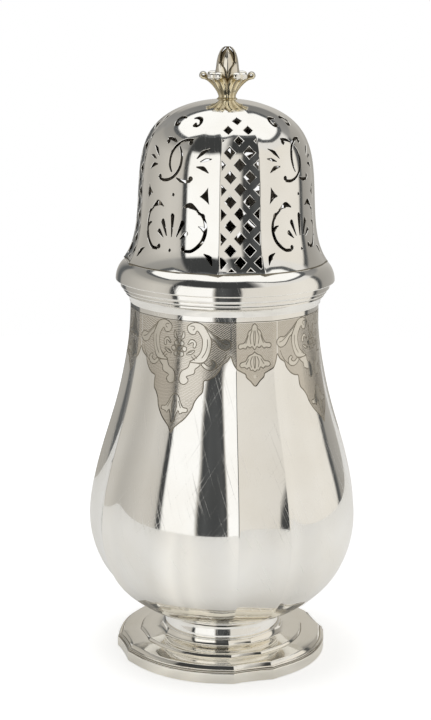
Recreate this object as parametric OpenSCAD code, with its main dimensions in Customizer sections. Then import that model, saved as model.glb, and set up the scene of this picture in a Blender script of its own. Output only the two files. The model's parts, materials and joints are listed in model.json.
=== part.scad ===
// Silver sugar caster: panelled baluster body on a stepped foot, with a
// lift-off domed cover that is pierced with a lattice, scrolls and shells.
// Millimetres, +Z up, origin at the middle of the base.

/* [Foot] */
// Radius of the foot at its rim
foot_r = 36.4; // [33:0.1:40]
// Height of the upright rim band
foot_rim_h = 3.7; // [3:0.1:5]
// Thickness of the rim band
foot_rim_wall = 1.2; // [0.9:0.1:1.6]
// Rise of the stepped dish from the rim to the collar
foot_rise = 2.9; // [2:0.1:4]
// Thickness of the dish's sheet
foot_wall = 1; // [0.7:0.1:1.3]
// Radius of the collar between foot and body
collar_r = 20.3; // [18:0.1:21]
// Height of the collar
collar_h = 8.9; // [7:0.1:12]
// Thickness of the collar's wall
collar_wall = 1.4; // [1:0.1:2]
// Radius of the bead round the collar
bead_r = 0.5; // [0.3:0.1:0.8]
// Height of the bead above the collar's foot
bead_h = 3; // [2:0.1:6]

/* [Body] */
// Radius of the body at its belly
belly_r = 45.3; // [41:0.1:49]
// Height of the belly above the body's base
belly_h = 34.5; // [30:0.5:40]
// Radius of the flat base that stands on the collar
body_base_r = 21.5; // [20.5:0.1:24]
// Radius of the neck
neck_r = 31.9; // [31:0.1:34]
// Height of the body from its base to the top of the neck
body_h = 108.7; // [100:0.5:118]
// Thickness of the body's sheet
body_wall = 1; // [0.8:0.1:1.3]
// Width of each narrow flat panel on body and foot, in degrees
body_panel = 22; // [16:1:28]

/* [Neck ring] */
// Height of the ring round the mouth
ring_h = 3.5; // [2.5:0.1:5]
// How far the ring's lower edge stands out from the neck
ring_foot = 0.5; // [0.3:0.1:1]
// How far the ring's upper edge stands out from the neck
ring_proud = 1.9; // [1.2:0.1:2.6]
// Radius of the mouth that takes the cover's sleeve
mouth_r = 29.4; // [28.8:0.1:29.8]

/* [Cover] */
// Turn of the cover on the body, in degrees
cover_turn = -8.8; // [-180:0.1:180]
// Radius of the dome
dome_r = 29; // [27.5:0.1:31]
// Height of the dome
dome_h = 53.8; // [50:0.1:60]
// How far the dome's foot flares out
dome_flare = 5; // [4:0.1:6]
// Height over which the flare dies away
dome_flare_h = 6.7; // [5:0.1:9]
// Thickness of the dome's sheet
dome_wall = 1; // [0.8:0.1:1.3]
// Width of each lattice panel, in degrees
cover_panel = 25.8; // [22:0.2:30]

/* [Cover rim] */
// Height of the moulding round the cover's foot
rim_h = 10.3; // [9.8:0.1:12]
// How far the moulding stands out from the dome's edge
rim_proud = 3.1; // [2.6:0.1:3.6]
// Height that the moulding's round would reach if it were carried over to its top
swell_h = 7.2; // [6.9:0.1:7.6]
// Depth of the moulding's round
swell_d = 5.5; // [5:0.1:6]
// Height of the lip below the moulding
lip_h = 1.4; // [1:0.1:1.6]
// How far the lip lies inside the moulding's outer edge
lip_in = 2.6; // [2.2:0.1:3]
// Height of the fillet between lip and moulding
fillet_h = 2.3; // [1.8:0.1:2.4]
// How far the fillet lies inside the moulding's outer edge
fillet_in = 1.7; // [1.4:0.1:2]
// Thickness of the moulding's wall
rim_wall = 1.1; // [0.8:0.1:1.4]
// Gap between the moulding and the neck ring
seat_gap = 0.2; // [0.1:0.05:0.3]
// Depth of the sleeve below the neck ring's top
sleeve_depth = 13; // [9:0.5:18]
// Thickness of the sleeve
sleeve_wall = 0.9; // [0.7:0.1:1.2]
// Clearance between sleeve and mouth
sleeve_fit = 0.1; // [0.05:0.01:0.15]

/* [Lattice] */
// Sideways step from one opening to the next row's
lattice_step = 3.15; // [2.9:0.05:3.4]
// Step from one row of openings to the next, along the dome's side
lattice_rise = 3.9; // [3.7:0.1:4.2]
// Half width of an opening
lattice_half = 1.75; // [1.4:0.05:1.9]
// Distance of the lowest whole opening up the dome's side
lattice_start = 4.2; // [4:0.1:4.8]
// Rows of openings above it
lattice_rows = 12; // [6:1:12]
// Plain strip left along the panel's edges
lattice_border = 0.45; // [0.3:0.05:0.8]
// Plain strip left below the lattice
lattice_foot = 0.9; // [0.7:0.1:1.4]

/* [Scrolls] */
// Width of a pierced scroll line
scroll_line = 0.6; // [0.5:0.05:0.8]
// Radius of the balls that end the scrolls
scroll_ball = 0.7; // [0.5:0.05:0.9]
// Radius of the two interlaced scrolls
knot_r = 6.6; // [6:0.1:7]
// Distance of each interlaced scroll's centre from the panel's middle
knot_apart = 4.3; // [4:0.1:4.6]
// Depth of the interlaced scrolls' centres below the dome's top
knot_drop = 18.4; // [17.6:0.1:19]
// Width of the slits beside the interlaced scrolls
slit_w = 0.9; // [0.6:0.1:1.2]
// Radius of the leafy scrolls beside the shell
foliage_r = 6.6; // [6:0.1:7]
// Height of the leafy scrolls' centres above the dome's foot
foliage_h = 13.8; // [13.4:0.1:15]
// Height of the shell's root above the dome's foot
shell_h = 11; // [10:0.1:12]
// Length of the shell's middle ray
shell_ray = 7.2; // [6:0.1:8]
// Width of a shell ray at its tip
shell_w = 1.3; // [1:0.1:1.5]
// Radius of the dots above and below the shell
dot_r = 0.45; // [0.3:0.05:0.6]

/* [Finial] */
// Turn of the finial on the dome, in degrees
finial_turn = -17.6; // [-180:0.1:180]
// Radius of the finial's stem at its waist
stem_r = 2.9; // [2.5:0.1:3.3]
// Height of the waist above the dome's top
stem_h = 0.4; // [0.3:0.1:1]
// Radius of the stem's foot on the dome
stem_foot = 3.4; // [3.4:0.1:4.2]
// Number of leaves
leaf_count = 6; // [5:1:7]
// Reach of the leaf tips from the axis
leaf_reach = 9.4; // [8.6:0.1:10.5]
// Width of a leaf
leaf_w = 5.2; // [4.4:0.1:5.6]
// Height from the waist to the leaf tips
leaf_h = 7.6; // [6.6:0.1:8.4]
// Radius of the roll at a leaf's tip
leaf_roll = 1.1; // [0.8:0.1:1.3]
// Radius of the bud
bud_r = 4.3; // [3.9:0.1:4.6]
// Height of the bud
bud_h = 12.4; // [11:0.1:15]
// Height of the lower petals
petal_h = 7.6; // [6:0.1:9]
// Step from one layer of petals to the next
petal_step = 0.25; // [0.15:0.05:0.35]
// Radius of the stud that holds the finial
stud_r = 1.5; // [1.2:0.1:1.8]
// Length of the stud below the dome's top
stud_drop = 5; // [4.2:0.1:7]
// Half width of the nut across its flats
nut_half = 2.9; // [2.5:0.1:3.1]
// Height of the nut
nut_h = 2; // [1.6:0.1:2.6]

/* [Hidden] */
$fn = 96;

silver = [0.86, 0.86, 0.84];
gilt_silver = [0.74, 0.66, 0.5];

// Heights of the seats, from the table up
collar_z = foot_rim_h + foot_rise;
body_z = collar_z + collar_h;
ring_z = body_z + body_h;
seat_z = ring_z + ring_h;
rim_z = seat_z + seat_gap;
dome_z = rim_z + rim_h;
apex_z = dome_z + dome_h;
waist_z = apex_z + stem_h;

// Radii that several pieces share
sleeve_r = mouth_r - sleeve_fit;
sleeve_in = sleeve_r - sleeve_wall;
dome_edge = dome_r + dome_flare;
rim_out = dome_edge + rim_proud;

// Small distances: a cut's overrun, and the contact gap under the finial
over = 1;
touch = 0.01;

// Points of a curve moved inward by a wall, along the curve's normals
function slope(path, i) = let (a = path[max(i - 1, 0)], b = path[min(i + 1, len(path) - 1)]) (b - a) / norm(b - a);
function inset(path, wall) = [for (i = [0 : len(path) - 1]) let (s = slope(path, i)) path[i] + wall * [-s.y, s.x]];
function last(path) = path[len(path) - 1];
function turned(p, a) = [p.x * cos(a) - p.y * sin(a), p.x * sin(a) + p.y * cos(a)];
function mirrored(path) = [for (i = [len(path) - 1 : -1 : 0]) [-path[i].x, path[i].y]];

// Body curve: a full round bowl up to the belly, then a long swept neck
bowl_steps = 12;
sweep_steps = 15;
function bowl(t) = [body_base_r + (belly_r - body_base_r) * pow(1 - pow(1 - t, 2), 0.62), body_z + belly_h * t];
function sweep(t) = [neck_r + (belly_r - neck_r) * pow(1 - pow(t, 1.8), 2.95),
    body_z + belly_h + (body_h - belly_h) * t];
body_curve = concat([for (k = [0 : bowl_steps - 1]) bowl(pow(k / bowl_steps, 2))],
    [for (k = [0 : sweep_steps]) sweep(k / sweep_steps)]);

// Dome curve: a flaring foot, a nearly straight side and a full round crown
dome_steps = 24;
function dome_at(t) = [dome_r * sqrt(1 - pow(t, 6)) + dome_flare * exp(-dome_h * t / dome_flare_h),
    dome_z + dome_h * t];
dome_curve = [for (k = [0 : dome_steps - 1]) dome_at((1 - cos(180 * k / dome_steps)) / 2)];
dome_inner = inset(dome_curve, dome_wall);
ceiling_z = last(dome_inner).y;
function crown_z(r) = dome_z + dome_h * pow(1 - pow(r / dome_r, 2), 1 / 6);

// Height above the dome's foot at a distance measured up along its side
function climb(k) = k == 0 ? 0 : climb(k - 1) + norm(dome_curve[k] - dome_curve[k - 1]);
climbs = [for (k = [0 : dome_steps - 1]) [climb(k), dome_curve[k].y - dome_z]];
function side_h(distance) = lookup(distance, climbs);

// A round solid of revolution with four narrow flats planed on it
module panelled(curve, angle) {
    low = curve[0].y;
    high = last(curve).y;
    reach = 2 * max([for (p = curve) p.x]) + 2 * over;
    flat = [for (p = curve) [p.x * cos(angle / 2), p.y]];
    half = concat([[flat[0].x, low - over]], flat, [[last(flat).x, high + over]]);
    intersection() {
        rotate_extrude() polygon(concat([[0, low]], curve, [[0, high]]));
        rotate([90, 0, 0]) linear_extrude(reach, center = true) polygon(concat(half, mirrored(half)));
        rotate([90, 0, 90]) linear_extrude(reach, center = true) polygon(concat(half, mirrored(half)));
    }
}

// Foot: an upright band round the edge
module foot_rim() {
    inner = foot_r - foot_rim_wall;
    color(silver) difference() {
        panelled([[foot_r, 0], [foot_r, foot_rim_h]], body_panel);
        panelled([[inner, -over], [inner, foot_rim_h + over]], body_panel);
    }
}

// Foot: the dish that climbs in three shallow steps from the band to the collar
dish_out = foot_r - foot_rim_wall / 3;
dish_in = collar_r + bead_r / 2;
dish_run = dish_out - dish_in;
dish_steps = [[0, 0], [0.03, 0.15], [0.07, 0.17], [0.09, 0.3], [0.13, 0.39], [0.2, 0.44], [0.33, 0.47],
    [0.34, 0.61], [0.4, 0.67], [0.47, 0.69], [0.6, 0.72], [0.61, 0.81], [0.74, 0.83], [0.86, 0.88], [0.95, 0.94],
    [1, 1]];
dish_curve = [for (p = dish_steps) [dish_out - dish_run * p.x, foot_rim_h + foot_rise * p.y]];
module foot_dish() {
    under = [for (p = dish_curve) [p.x, p.y - foot_wall]];
    hollow = concat([[foot_r, foot_rim_h - foot_wall - over]], under, [[last(under).x, collar_z + over]]);
    color(silver) difference() {
        panelled(dish_curve, body_panel);
        panelled(hollow, body_panel);
        translate([0, 0, -over]) cylinder(r = collar_r - collar_wall, h = collar_z + 2 * over);
    }
}

// Collar: a short round pillar with a fine bead
module foot_collar() {
    color(silver) rotate_extrude() {
        translate([collar_r - collar_wall, collar_z]) square([collar_wall, collar_h]);
        translate([collar_r, collar_z + bead_h]) circle(r = bead_r);
    }
}

// Body: the panelled baluster, closed below and open at the neck
module body_shell() {
    inner = inset(body_curve, body_wall);
    floor_z = body_z + body_wall;
    side = [for (p = inner) if (p.y > floor_z + body_wall / 4) p];
    inside = concat([[inner[1].x * 0.8, floor_z]], side, [[neck_r - body_wall, ring_z + over]]);
    color(silver) difference() {
        panelled(body_curve, body_panel);
        panelled(inside, body_panel);
    }
}

// Neck ring: a hollow-sided band that trims the mouth and carries the cover
module neck_ring() {
    cove = [for (k = [0 : 5]) let (t = k / 5)
        [neck_r + ring_foot + (ring_proud - ring_foot) * t * t, ring_z + 0.9 * ring_h * t]];
    color(silver) rotate_extrude()
        polygon(concat([[mouth_r, ring_z]], cove, [[neck_r + ring_proud, seat_z], [mouth_r, seat_z]]));
}

// Sleeve: the tube inside the cover that pushes into the mouth
module cover_sleeve() {
    low = seat_z - sleeve_depth;
    color(silver) rotate_extrude()
        translate([sleeve_in, low]) square([sleeve_wall, dome_z - rim_wall - low]);
}

// Cover rim: a bold hollow round, fullest at its foot, with a fillet and a lip below it
swell_z = rim_z + lip_h + fillet_h;
swell_steps = 8;
function swell(a, in) = [rim_out - swell_d + (swell_d - in) * cos(a), swell_z + (swell_h - in) * sin(a)];
function swell_arc(from, to, in) = [for (k = [0 : swell_steps]) swell(from + (to - from) * k / swell_steps, in)];
module cover_rim() {
    lip_r = rim_out - lip_in;
    fillet_r = rim_out - fillet_in;
    plate_z = dome_z - rim_wall;
    outer_end = acos(1 - rim_proud / swell_d);
    inner_start = asin(rim_wall / (swell_h - rim_wall));
    inner_end = asin((plate_z - swell_z) / (swell_h - rim_wall));
    outer = concat([[sleeve_r, rim_z], [lip_r, rim_z], [lip_r, rim_z + lip_h], [fillet_r, rim_z + lip_h],
        [fillet_r, swell_z]], swell_arc(0, outer_end, 0), [[dome_edge, dome_z], [sleeve_in, dome_z],
        [sleeve_in, plate_z], [sleeve_r, plate_z]]);
    hollow = concat([[0, rim_z + rim_wall], [lip_r - rim_wall, rim_z + rim_wall],
        [lip_r - rim_wall, rim_z + lip_h + rim_wall], [fillet_r - rim_wall, rim_z + lip_h + rim_wall],
        [fillet_r - rim_wall, swell_z + rim_wall]], swell_arc(inner_start, inner_end, rim_wall), [[0, plate_z]]);
    color(silver) rotate_extrude() difference() {
        polygon(outer);
        polygon(hollow);
    }
}

// A pierced leaf: pointed at both ends, swelling to its width between them
module leaf(a, b, w) {
    half = norm(b - a) / 2;
    r = (half * half + w * w / 4) / w;
    translate((a + b) / 2) rotate(atan2(b.y - a.y, b.x - a.x)) intersection() {
        translate([0, r - w / 2]) circle(r = r);
        translate([0, w / 2 - r]) circle(r = r);
    }
}

// A pierced drop: a point at its root that widens to a round tip
module drop(root, tip, w) {
    across = 0.45 * w * [root.y - tip.y, tip.x - root.x] / norm(tip - root);
    polygon([root, tip + across, tip - across]);
    translate(tip) circle(r = w / 2);
}

// A pierced scroll: an arc of thin line with a ball on the inside of each end that has one
module scroll(r, from, to, ball_from = false, ball_to = false) {
    sector = [for (k = [0 : 8]) let (a = from + (to - from) * k / 8) 2 * r * [cos(a), sin(a)]];
    difference() {
        intersection() {
            circle(r = r + scroll_line / 2);
            polygon(concat([[0, 0]], sector));
        }
        circle(r = r - scroll_line / 2);
    }
    inside = r + scroll_line / 4 - scroll_ball;
    if (ball_from) rotate(from) translate([inside, 0]) circle(r = scroll_ball);
    if (ball_to) rotate(to) translate([inside, 0]) circle(r = scroll_ball);
}

// Lattice of one flat panel: squares on their corners, halved along its edges
module lattice() {
    edge = [for (p = dome_curve) if (p.y > dome_z + lattice_foot)
        [p.x * sin(cover_panel / 2) - lattice_border, p.y - dome_z]];
    field = concat([[edge[0].x, lattice_foot]], edge);
    intersection() {
        polygon(concat(field, mirrored(field)));
        for (row = [-1 : lattice_rows]) let (
            at = lattice_start + row * lattice_rise,
            half = row > lattice_rows - 3 ? 0.8 * lattice_half : lattice_half,
            columns = row % 2 == 0 ? [-2, 0, 2] : [-1, 1]
        )
            for (c = columns) translate([c * lattice_step, 0])
                polygon([[half, side_h(at)], [0, side_h(at + half)], [-half, side_h(at)], [0, side_h(at - half)]]);
    }
}

// Middle of one wide panel: a pair of small scrolls, the interlaced scrolls, dots and the shell
module panel_middle() {
    knot_h = dome_h - knot_drop;
    crest = [3, dome_h - 6.3];
    for (side = [0, 1]) mirror([side, 0]) translate(crest) scroll(1.5, -70, 150, ball_from = true);
    translate([knot_apart, knot_h]) {
        scroll(knot_r, 84, 213, ball_from = true);
        scroll(knot_r, 241, 282, ball_to = true);
    }
    mirror([1, 0]) translate([knot_apart, knot_h]) {
        scroll(knot_r, 84, 119, ball_from = true);
        scroll(knot_r, 142, 282, ball_to = true);
    }
    translate([0, knot_h - knot_r - 4.4]) circle(r = dot_r);
    translate([0, shell_h - 4.4]) circle(r = dot_r);
    drop([0, shell_h], [0, shell_h + shell_ray - shell_w / 2], shell_w);
    for (side = [0, 1]) mirror([side, 0]) {
        drop([2, shell_h + 0.2], [3.9, shell_h + 0.66 * shell_ray], shell_w);
        drop([3.4, shell_h - 0.4], [5.5, shell_h + 0.2 * shell_ray], shell_w);
    }
}

// Right side of one wide panel, measured from its own cutting line
module panel_side() {
    knot_h = dome_h - knot_drop;
    leaf([2, knot_h + 3.8], [-1.2, knot_h + 1.1], slit_w);
    leaf([3.2, knot_h + 0.6], [0, knot_h], 0.8 * slit_w);
    leaf([-1, knot_h - 2], [2.7, knot_h - 3.3], slit_w);
    polygon([[2.9, foliage_h + 13], [2.2, foliage_h + 10.9], [0.9, foliage_h + 10.4], [2.4, foliage_h + 9.9],
        [3.3, foliage_h + 8.4]]);
    translate([-3.6, foliage_h]) scroll(foliage_r, -104, 26, ball_from = true);
    leaf([-5.2, foliage_h + 7], [0, foliage_h + 6.2], 1.2 * slit_w);
    leaf([0.4, foliage_h + 5], [2.4, foliage_h + 2.8], slit_w);
    leaf([0.6, foliage_h + 0.9], [2.7, foliage_h - 1.2], 0.8 * slit_w);
    leaf([3, foliage_h - 7.6], [6.2, foliage_h - 10.6], 1.2 * slit_w);
}

// A shape cut square through the dome's wall at a turn from the front
module pierce(turn) {
    rotate([90, 0, turn]) translate([0, dome_z, dome_r * 0.3]) linear_extrude(dome_r) children();
}

// Cover dome: raised sheet, panelled like the body and pierced all round
side_turn = 18;
module cover_dome() {
    inside = concat([[dome_inner[0].x, dome_z - over]], dome_inner);
    color(silver) rotate(cover_turn) difference() {
        panelled(concat(dome_curve, [[touch, apex_z]]), cover_panel);
        panelled(inside, cover_panel);
        cylinder(r = stud_r + 0.2, h = apex_z + over);
        for (quarter = [0 : 90 : 270]) {
            pierce(quarter) lattice();
            pierce(quarter + 45) panel_middle();
            pierce(quarter + 45 + side_turn) panel_side();
            pierce(quarter + 45 - side_turn) mirror([1, 0]) panel_side();
        }
    }
}

// Cup curve: from the stem's waist out to the roll at the leaf tips
leaf_end = leaf_reach - leaf_roll;
cup_bend = 1.65;
function cup(t) = [stem_r + (leaf_end - stem_r) * pow(t, cup_bend), waist_z + (leaf_h - leaf_roll) * t];
cup_wall = 1.2;
cup_t = pow((bud_r + 2 * petal_step - stem_r) / (leaf_end - stem_r), 1 / cup_bend);
floor_z = cup(cup_t).y + cup_wall;

// Finial calyx: a short stem that opens from its waist into a cup of rolled leaves
module finial_calyx() {
    outer = [for (k = [0 : 6]) cup(k / 6)];
    inner = [for (k = [6 : -1 : 0]) cup(cup_t + (1 - cup_t) * k / 6) + [0, cup_wall]];
    seat = [for (k = [0 : 3]) let (r = stem_foot * k / 3) [r, crown_z(r) + touch]];
    leaf_mid = leaf_reach + leaf_roll / 3 - leaf_w / 2;
    leaf_plan = concat([turned([bud_r + cup_wall, 0], -180 / leaf_count)],
        [for (a = [-100 : 25 : 100]) [leaf_mid, 0] + turned([leaf_w / 2, 0], a)]);
    color(gilt_silver) rotate(finial_turn) difference() {
        intersection() {
            rotate_extrude() {
                polygon(concat(seat, [last(seat) + [0, stem_h / 2]], outer, inner, [[0, floor_z]]));
                translate(last(outer) + [0, cup_wall / 2]) circle(r = leaf_roll);
            }
            translate([0, 0, dome_z]) linear_extrude(2 * dome_h)
                polygon([for (k = [0 : leaf_count - 1], p = leaf_plan) turned(p, 360 * k / leaf_count)]);
        }
        translate([0, 0, dome_z]) cylinder(r = stud_r, h = floor_z - cup_wall - dome_z);
    }
}

// Bud curve, drawn in by a step for each layer of petals
function bud(t, step) = [(bud_r - step) * sqrt(1 - pow(t, 2.6)), floor_z + (bud_h - step) * t];
module bud_layer(step) {
    rotate_extrude() polygon(concat([[0, floor_z]],
        [for (k = [0 : 12]) bud(sin(90 * k / 12), step)]));
}

// Pointed petals standing on one layer of the bud
module petals(step, high, start) {
    wide = 1.5 * bud_r;
    for (k = [0 : 3]) intersection() {
        bud_layer(step);
        rotate([90, 0, start + 90 * k]) translate([0, floor_z, 0]) linear_extrude(2 * bud_r)
            leaf([0, -high], [0, high], wide);
    }
}

// Finial bud: two rings of overlapping petals round a pointed core
module finial_bud() {
    color(gilt_silver) rotate(finial_turn) union() {
        bud_layer(2 * petal_step);
        petals(petal_step, 0.97 * bud_h, 0);
        petals(0, petal_h, 45);
    }
}

// Stud: the threaded pin that holds the finial, drawn at its plain diameter
module finial_stud() {
    low = apex_z - stud_drop;
    color(silver) translate([0, 0, low]) cylinder(r = stud_r, h = floor_z - cup_wall - low);
}

// Nut: tightened on the stud against the inside of the dome
module finial_nut() {
    color(silver) translate([0, 0, ceiling_z - nut_h]) difference() {
        cylinder(r = nut_half / cos(45), h = nut_h, $fn = 4);
        translate([0, 0, -over]) cylinder(r = stud_r, h = nut_h + 2 * over);
    }
}

foot_rim();
foot_dish();
foot_collar();
body_shell();
neck_ring();
cover_sleeve();
cover_rim();
cover_dome();
finial_calyx();
finial_bud();
finial_stud();
finial_nut();
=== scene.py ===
"""Silver sugar caster: a panelled baluster body on a stepped foot, with a pierced lift-off cover."""

import json
import math

import bpy
import numpy as np
from mathutils import Matrix, Vector
from mathutils.geometry import delaunay_2d_cdt

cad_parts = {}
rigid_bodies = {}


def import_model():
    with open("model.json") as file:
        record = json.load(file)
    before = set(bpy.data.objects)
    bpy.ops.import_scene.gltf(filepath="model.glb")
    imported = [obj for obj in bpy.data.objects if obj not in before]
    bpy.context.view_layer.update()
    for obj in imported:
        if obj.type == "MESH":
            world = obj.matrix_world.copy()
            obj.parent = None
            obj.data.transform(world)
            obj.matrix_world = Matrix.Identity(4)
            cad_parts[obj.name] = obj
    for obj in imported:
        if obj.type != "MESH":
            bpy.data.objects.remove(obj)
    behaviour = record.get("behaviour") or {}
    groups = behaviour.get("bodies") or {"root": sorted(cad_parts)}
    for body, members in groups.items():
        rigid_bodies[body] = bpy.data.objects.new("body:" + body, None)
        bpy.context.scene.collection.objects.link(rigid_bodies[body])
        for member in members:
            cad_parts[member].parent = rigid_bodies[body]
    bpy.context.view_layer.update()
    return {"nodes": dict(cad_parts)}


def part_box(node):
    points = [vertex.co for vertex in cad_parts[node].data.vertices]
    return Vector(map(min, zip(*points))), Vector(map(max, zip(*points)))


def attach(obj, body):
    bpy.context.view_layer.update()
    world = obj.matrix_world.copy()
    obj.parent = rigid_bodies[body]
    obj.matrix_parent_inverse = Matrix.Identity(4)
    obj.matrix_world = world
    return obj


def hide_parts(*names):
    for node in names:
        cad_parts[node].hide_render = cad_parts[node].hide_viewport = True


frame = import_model()


# Foot rim: the upright band round the edge of the foot, rolled from silver strip.
# It has four narrow flats, one on each side, and is soldered under the edge of the dish.
MM = 0.001
foot_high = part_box("foot_rim")[1]
FLAT = 11.0
foot_r = foot_high[0] / MM / np.cos(np.radians(FLAT))
foot_rim_h = foot_high[2] / MM
foot_wall = 1.2
foot_crest = 0.014
low_round, top_round = 0.45, 0.3
SMALL_TURN = 0.05


def turn(mid, r, start, end, steps=6):
    """Points along a turned edge: an arc about a middle, in degrees, in the plane of radius and height."""
    a = np.radians(np.linspace(start, end, steps + 1))
    return [(mid[0] + r * np.cos(t), mid[1] + r * np.sin(t)) for t in a]


def erfc(values):
    """What is left of a crest at a distance from its line: 1 on the line and 0 well away from it."""
    return np.vectorize(math.erfc)(values)


def plan(flat, steps, crest=0.0):
    """Angles across a quarter of the plan, with how far the outline stands out there and how it leans.
    The panels sweep up to a crest on the ridges, and the narrow ones are a little hollow."""
    if flat == 0:
        angles = np.linspace(0, 90, steps + 1)
        return angles, np.ones_like(angles), np.zeros_like(angles)

    def outline(angle, on_flat):
        crest_width, hollow = 5.0, 0.8 * crest
        gap = np.where(on_flat, flat - np.abs(angle), 45 - flat - np.abs(angle - 45))
        left = erfc(gap / crest_width)
        chord = (1 + crest) * np.cos(np.radians(flat)) / np.cos(np.radians(angle)) - hollow * (1 - left)
        return np.where(on_flat, chord, 1 + crest * left)

    def slope(angle, on_flat):
        step = outline(angle + SMALL_TURN, on_flat) - outline(angle - SMALL_TURN, on_flat)
        return step / np.radians(2 * SMALL_TURN)

    soft = 0.4
    narrow = np.linspace(-flat + soft, flat - soft, 8)
    wide = np.linspace(flat + soft, 90 - flat - soft, steps)
    angles = np.concatenate([[-flat], narrow, [flat], wide, [90 - flat]])
    on_flat = np.abs(angles) <= flat
    lean = slope(angles, on_flat)
    lean[9] = (slope(flat, True) + slope(flat, False)) / 2
    lean[0] = lean[-1] = -lean[9]
    return angles, outline(angles, on_flat), lean


def unit(vectors):
    """The same directions at length 1; a zero stays zero."""
    length = np.linalg.norm(vectors, axis=-1, keepdims=True)
    return vectors / np.where(length == 0, 1, length)


def sheet_mesh(name, verts, faces, lie, finish=None, flat_faces=None):
    """A mesh in metres. Its layer lie holds each corner's normal as out, along and up,
    so that the normal turns with the piece."""
    mesh = bpy.data.meshes.new(name)
    mesh.from_pydata((np.asarray(verts) * MM).tolist(), [], faces)
    layer = mesh.attributes.new("lie", "FLOAT_VECTOR", "CORNER")
    layer.data.foreach_set("vector", np.asarray(lie, np.float32).ravel())
    kind = mesh.attributes.new("finish", "INT", "FACE")
    kind.data.foreach_set("value", np.zeros(len(faces), np.int32) if finish is None else finish)
    smooth = np.ones(len(faces), bool) if flat_faces is None else ~np.asarray(flat_faces)
    mesh.polygons.foreach_set("use_smooth", smooth)
    return mesh


def quarter(name, loop, flat=0.0, steps=44, crease=34.0, crest=0.0, corners=()):
    """A quarter of a piece whose closed profile, given counter-clockwise, runs round the plan.
    Stretches of the profile between two radii, listed as corners, get the second finish."""
    loop = np.array(loop, float)
    angles, stand, lean = plan(flat, steps, crest)
    rows, cols = len(loop), len(angles)
    a = np.radians(angles)
    r = loop[:, :1] * stand
    z = np.repeat(loop[:, 1:], cols, 1)
    verts = np.stack([r * np.cos(a), r * np.sin(a), z], -1).reshape(-1, 3)
    run = np.roll(loop, -1, 0) - loop
    out = unit(np.stack([run[:, 1], -run[:, 0]], 1))
    before, after = np.roll(out, 1, 0), np.roll(out, -1, 0)
    soft = (out * before).sum(1) > np.cos(np.radians(crease))
    first = unit(np.where(soft[:, None], out + before, out))
    last = unit(np.where(np.roll(soft, -1)[:, None], out + after, out))
    faces, lie, finish = [], [], []
    for i in range(rows):
        k = (i + 1) % rows
        mid_r = (loop[i, 0] + loop[k, 0]) / 2
        finish += [int(any(low < mid_r < high for low, high in corners))] * (cols - 1)
        for j in range(cols - 1):
            faces.append((i * cols + j, i * cols + j + 1, k * cols + j + 1, k * cols + j))
            for n, c in ((first[i], j), (first[i], j + 1), (last[i], j + 1), (last[i], j)):
                lie.append((stand[c] * n[0], -lean[c] * n[0], stand[c] ** 2 * n[1]))
    return sheet_mesh(name, verts, faces, unit(np.array(lie)), finish)


def plug(node, sockets):
    """Sets a node's inputs: another node's output is linked, and anything else is a plain value."""
    for socket, value in sockets.items():
        if isinstance(value, bpy.types.NodeSocket):
            node.id_data.links.new(value, node.inputs[socket])
        else:
            node.inputs[socket].default_value = value
    return node


def new_node(tree, kind, sockets=None, **settings):
    """Adds a node with its settings and inputs."""
    node = tree.nodes.new(kind)
    for setting, value in settings.items():
        setattr(node, setting, value)
    return plug(node, sockets or {})


def maths(tree, operation, *values):
    """The result of a maths node."""
    return new_node(tree, "ShaderNodeMath", dict(enumerate(values)), operation=operation).outputs[0]


def round_tree(count):
    """Geometry nodes that set copies of a part round the axis, weld them and give each face its finish."""
    tree = bpy.data.node_groups.new("round_the_axis", "GeometryNodeTree")
    takes = {"Part": "Geometry", "Count": "Int", "Start": "Float", "Weld": "Float"}
    takes.update({f"Finish {n}": "Material" for n in range(count)})
    for name, kind in takes.items():
        tree.interface.new_socket(name, in_out="INPUT", socket_type="NodeSocket" + kind)
    tree.interface.new_socket("Piece", in_out="OUTPUT", socket_type="NodeSocketGeometry")
    given = new_node(tree, "NodeGroupInput").outputs
    line = new_node(tree, "GeometryNodeMeshLine", {"Count": given["Count"], "Offset": (0, 0, 0)})
    step = maths(tree, "DIVIDE", 2 * np.pi, given["Count"])
    index = new_node(tree, "GeometryNodeInputIndex").outputs[0]
    angle = maths(tree, "MULTIPLY_ADD", index, step, given["Start"])
    spin = new_node(tree, "ShaderNodeCombineXYZ", {"Z": angle}).outputs[0]
    placed = {"Points": line.outputs["Mesh"], "Instance": given["Part"], "Rotation": spin}
    copies = new_node(tree, "GeometryNodeInstanceOnPoints", placed).outputs[0]
    real = new_node(tree, "GeometryNodeRealizeInstances", {0: copies}).outputs[0]
    welded = {"Geometry": real, "Distance": given["Weld"]}
    flow = new_node(tree, "GeometryNodeMergeByDistance", welded).outputs[0]
    for n in range(count):
        chosen = {"Geometry": flow, "Material": given[f"Finish {n}"]}
        if n:
            kind = new_node(tree, "GeometryNodeInputNamedAttribute", {"Name": "finish"}, data_type="INT")
            pair = {2: kind.outputs["Attribute"], 3: n}
            same = new_node(tree, "FunctionNodeCompare", pair, data_type="INT", operation="EQUAL")
            chosen["Selection"] = same.outputs[0]
        flow = new_node(tree, "GeometryNodeSetMaterial", chosen).outputs[0]
    new_node(tree, "NodeGroupOutput", {0: flow})
    return tree


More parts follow.
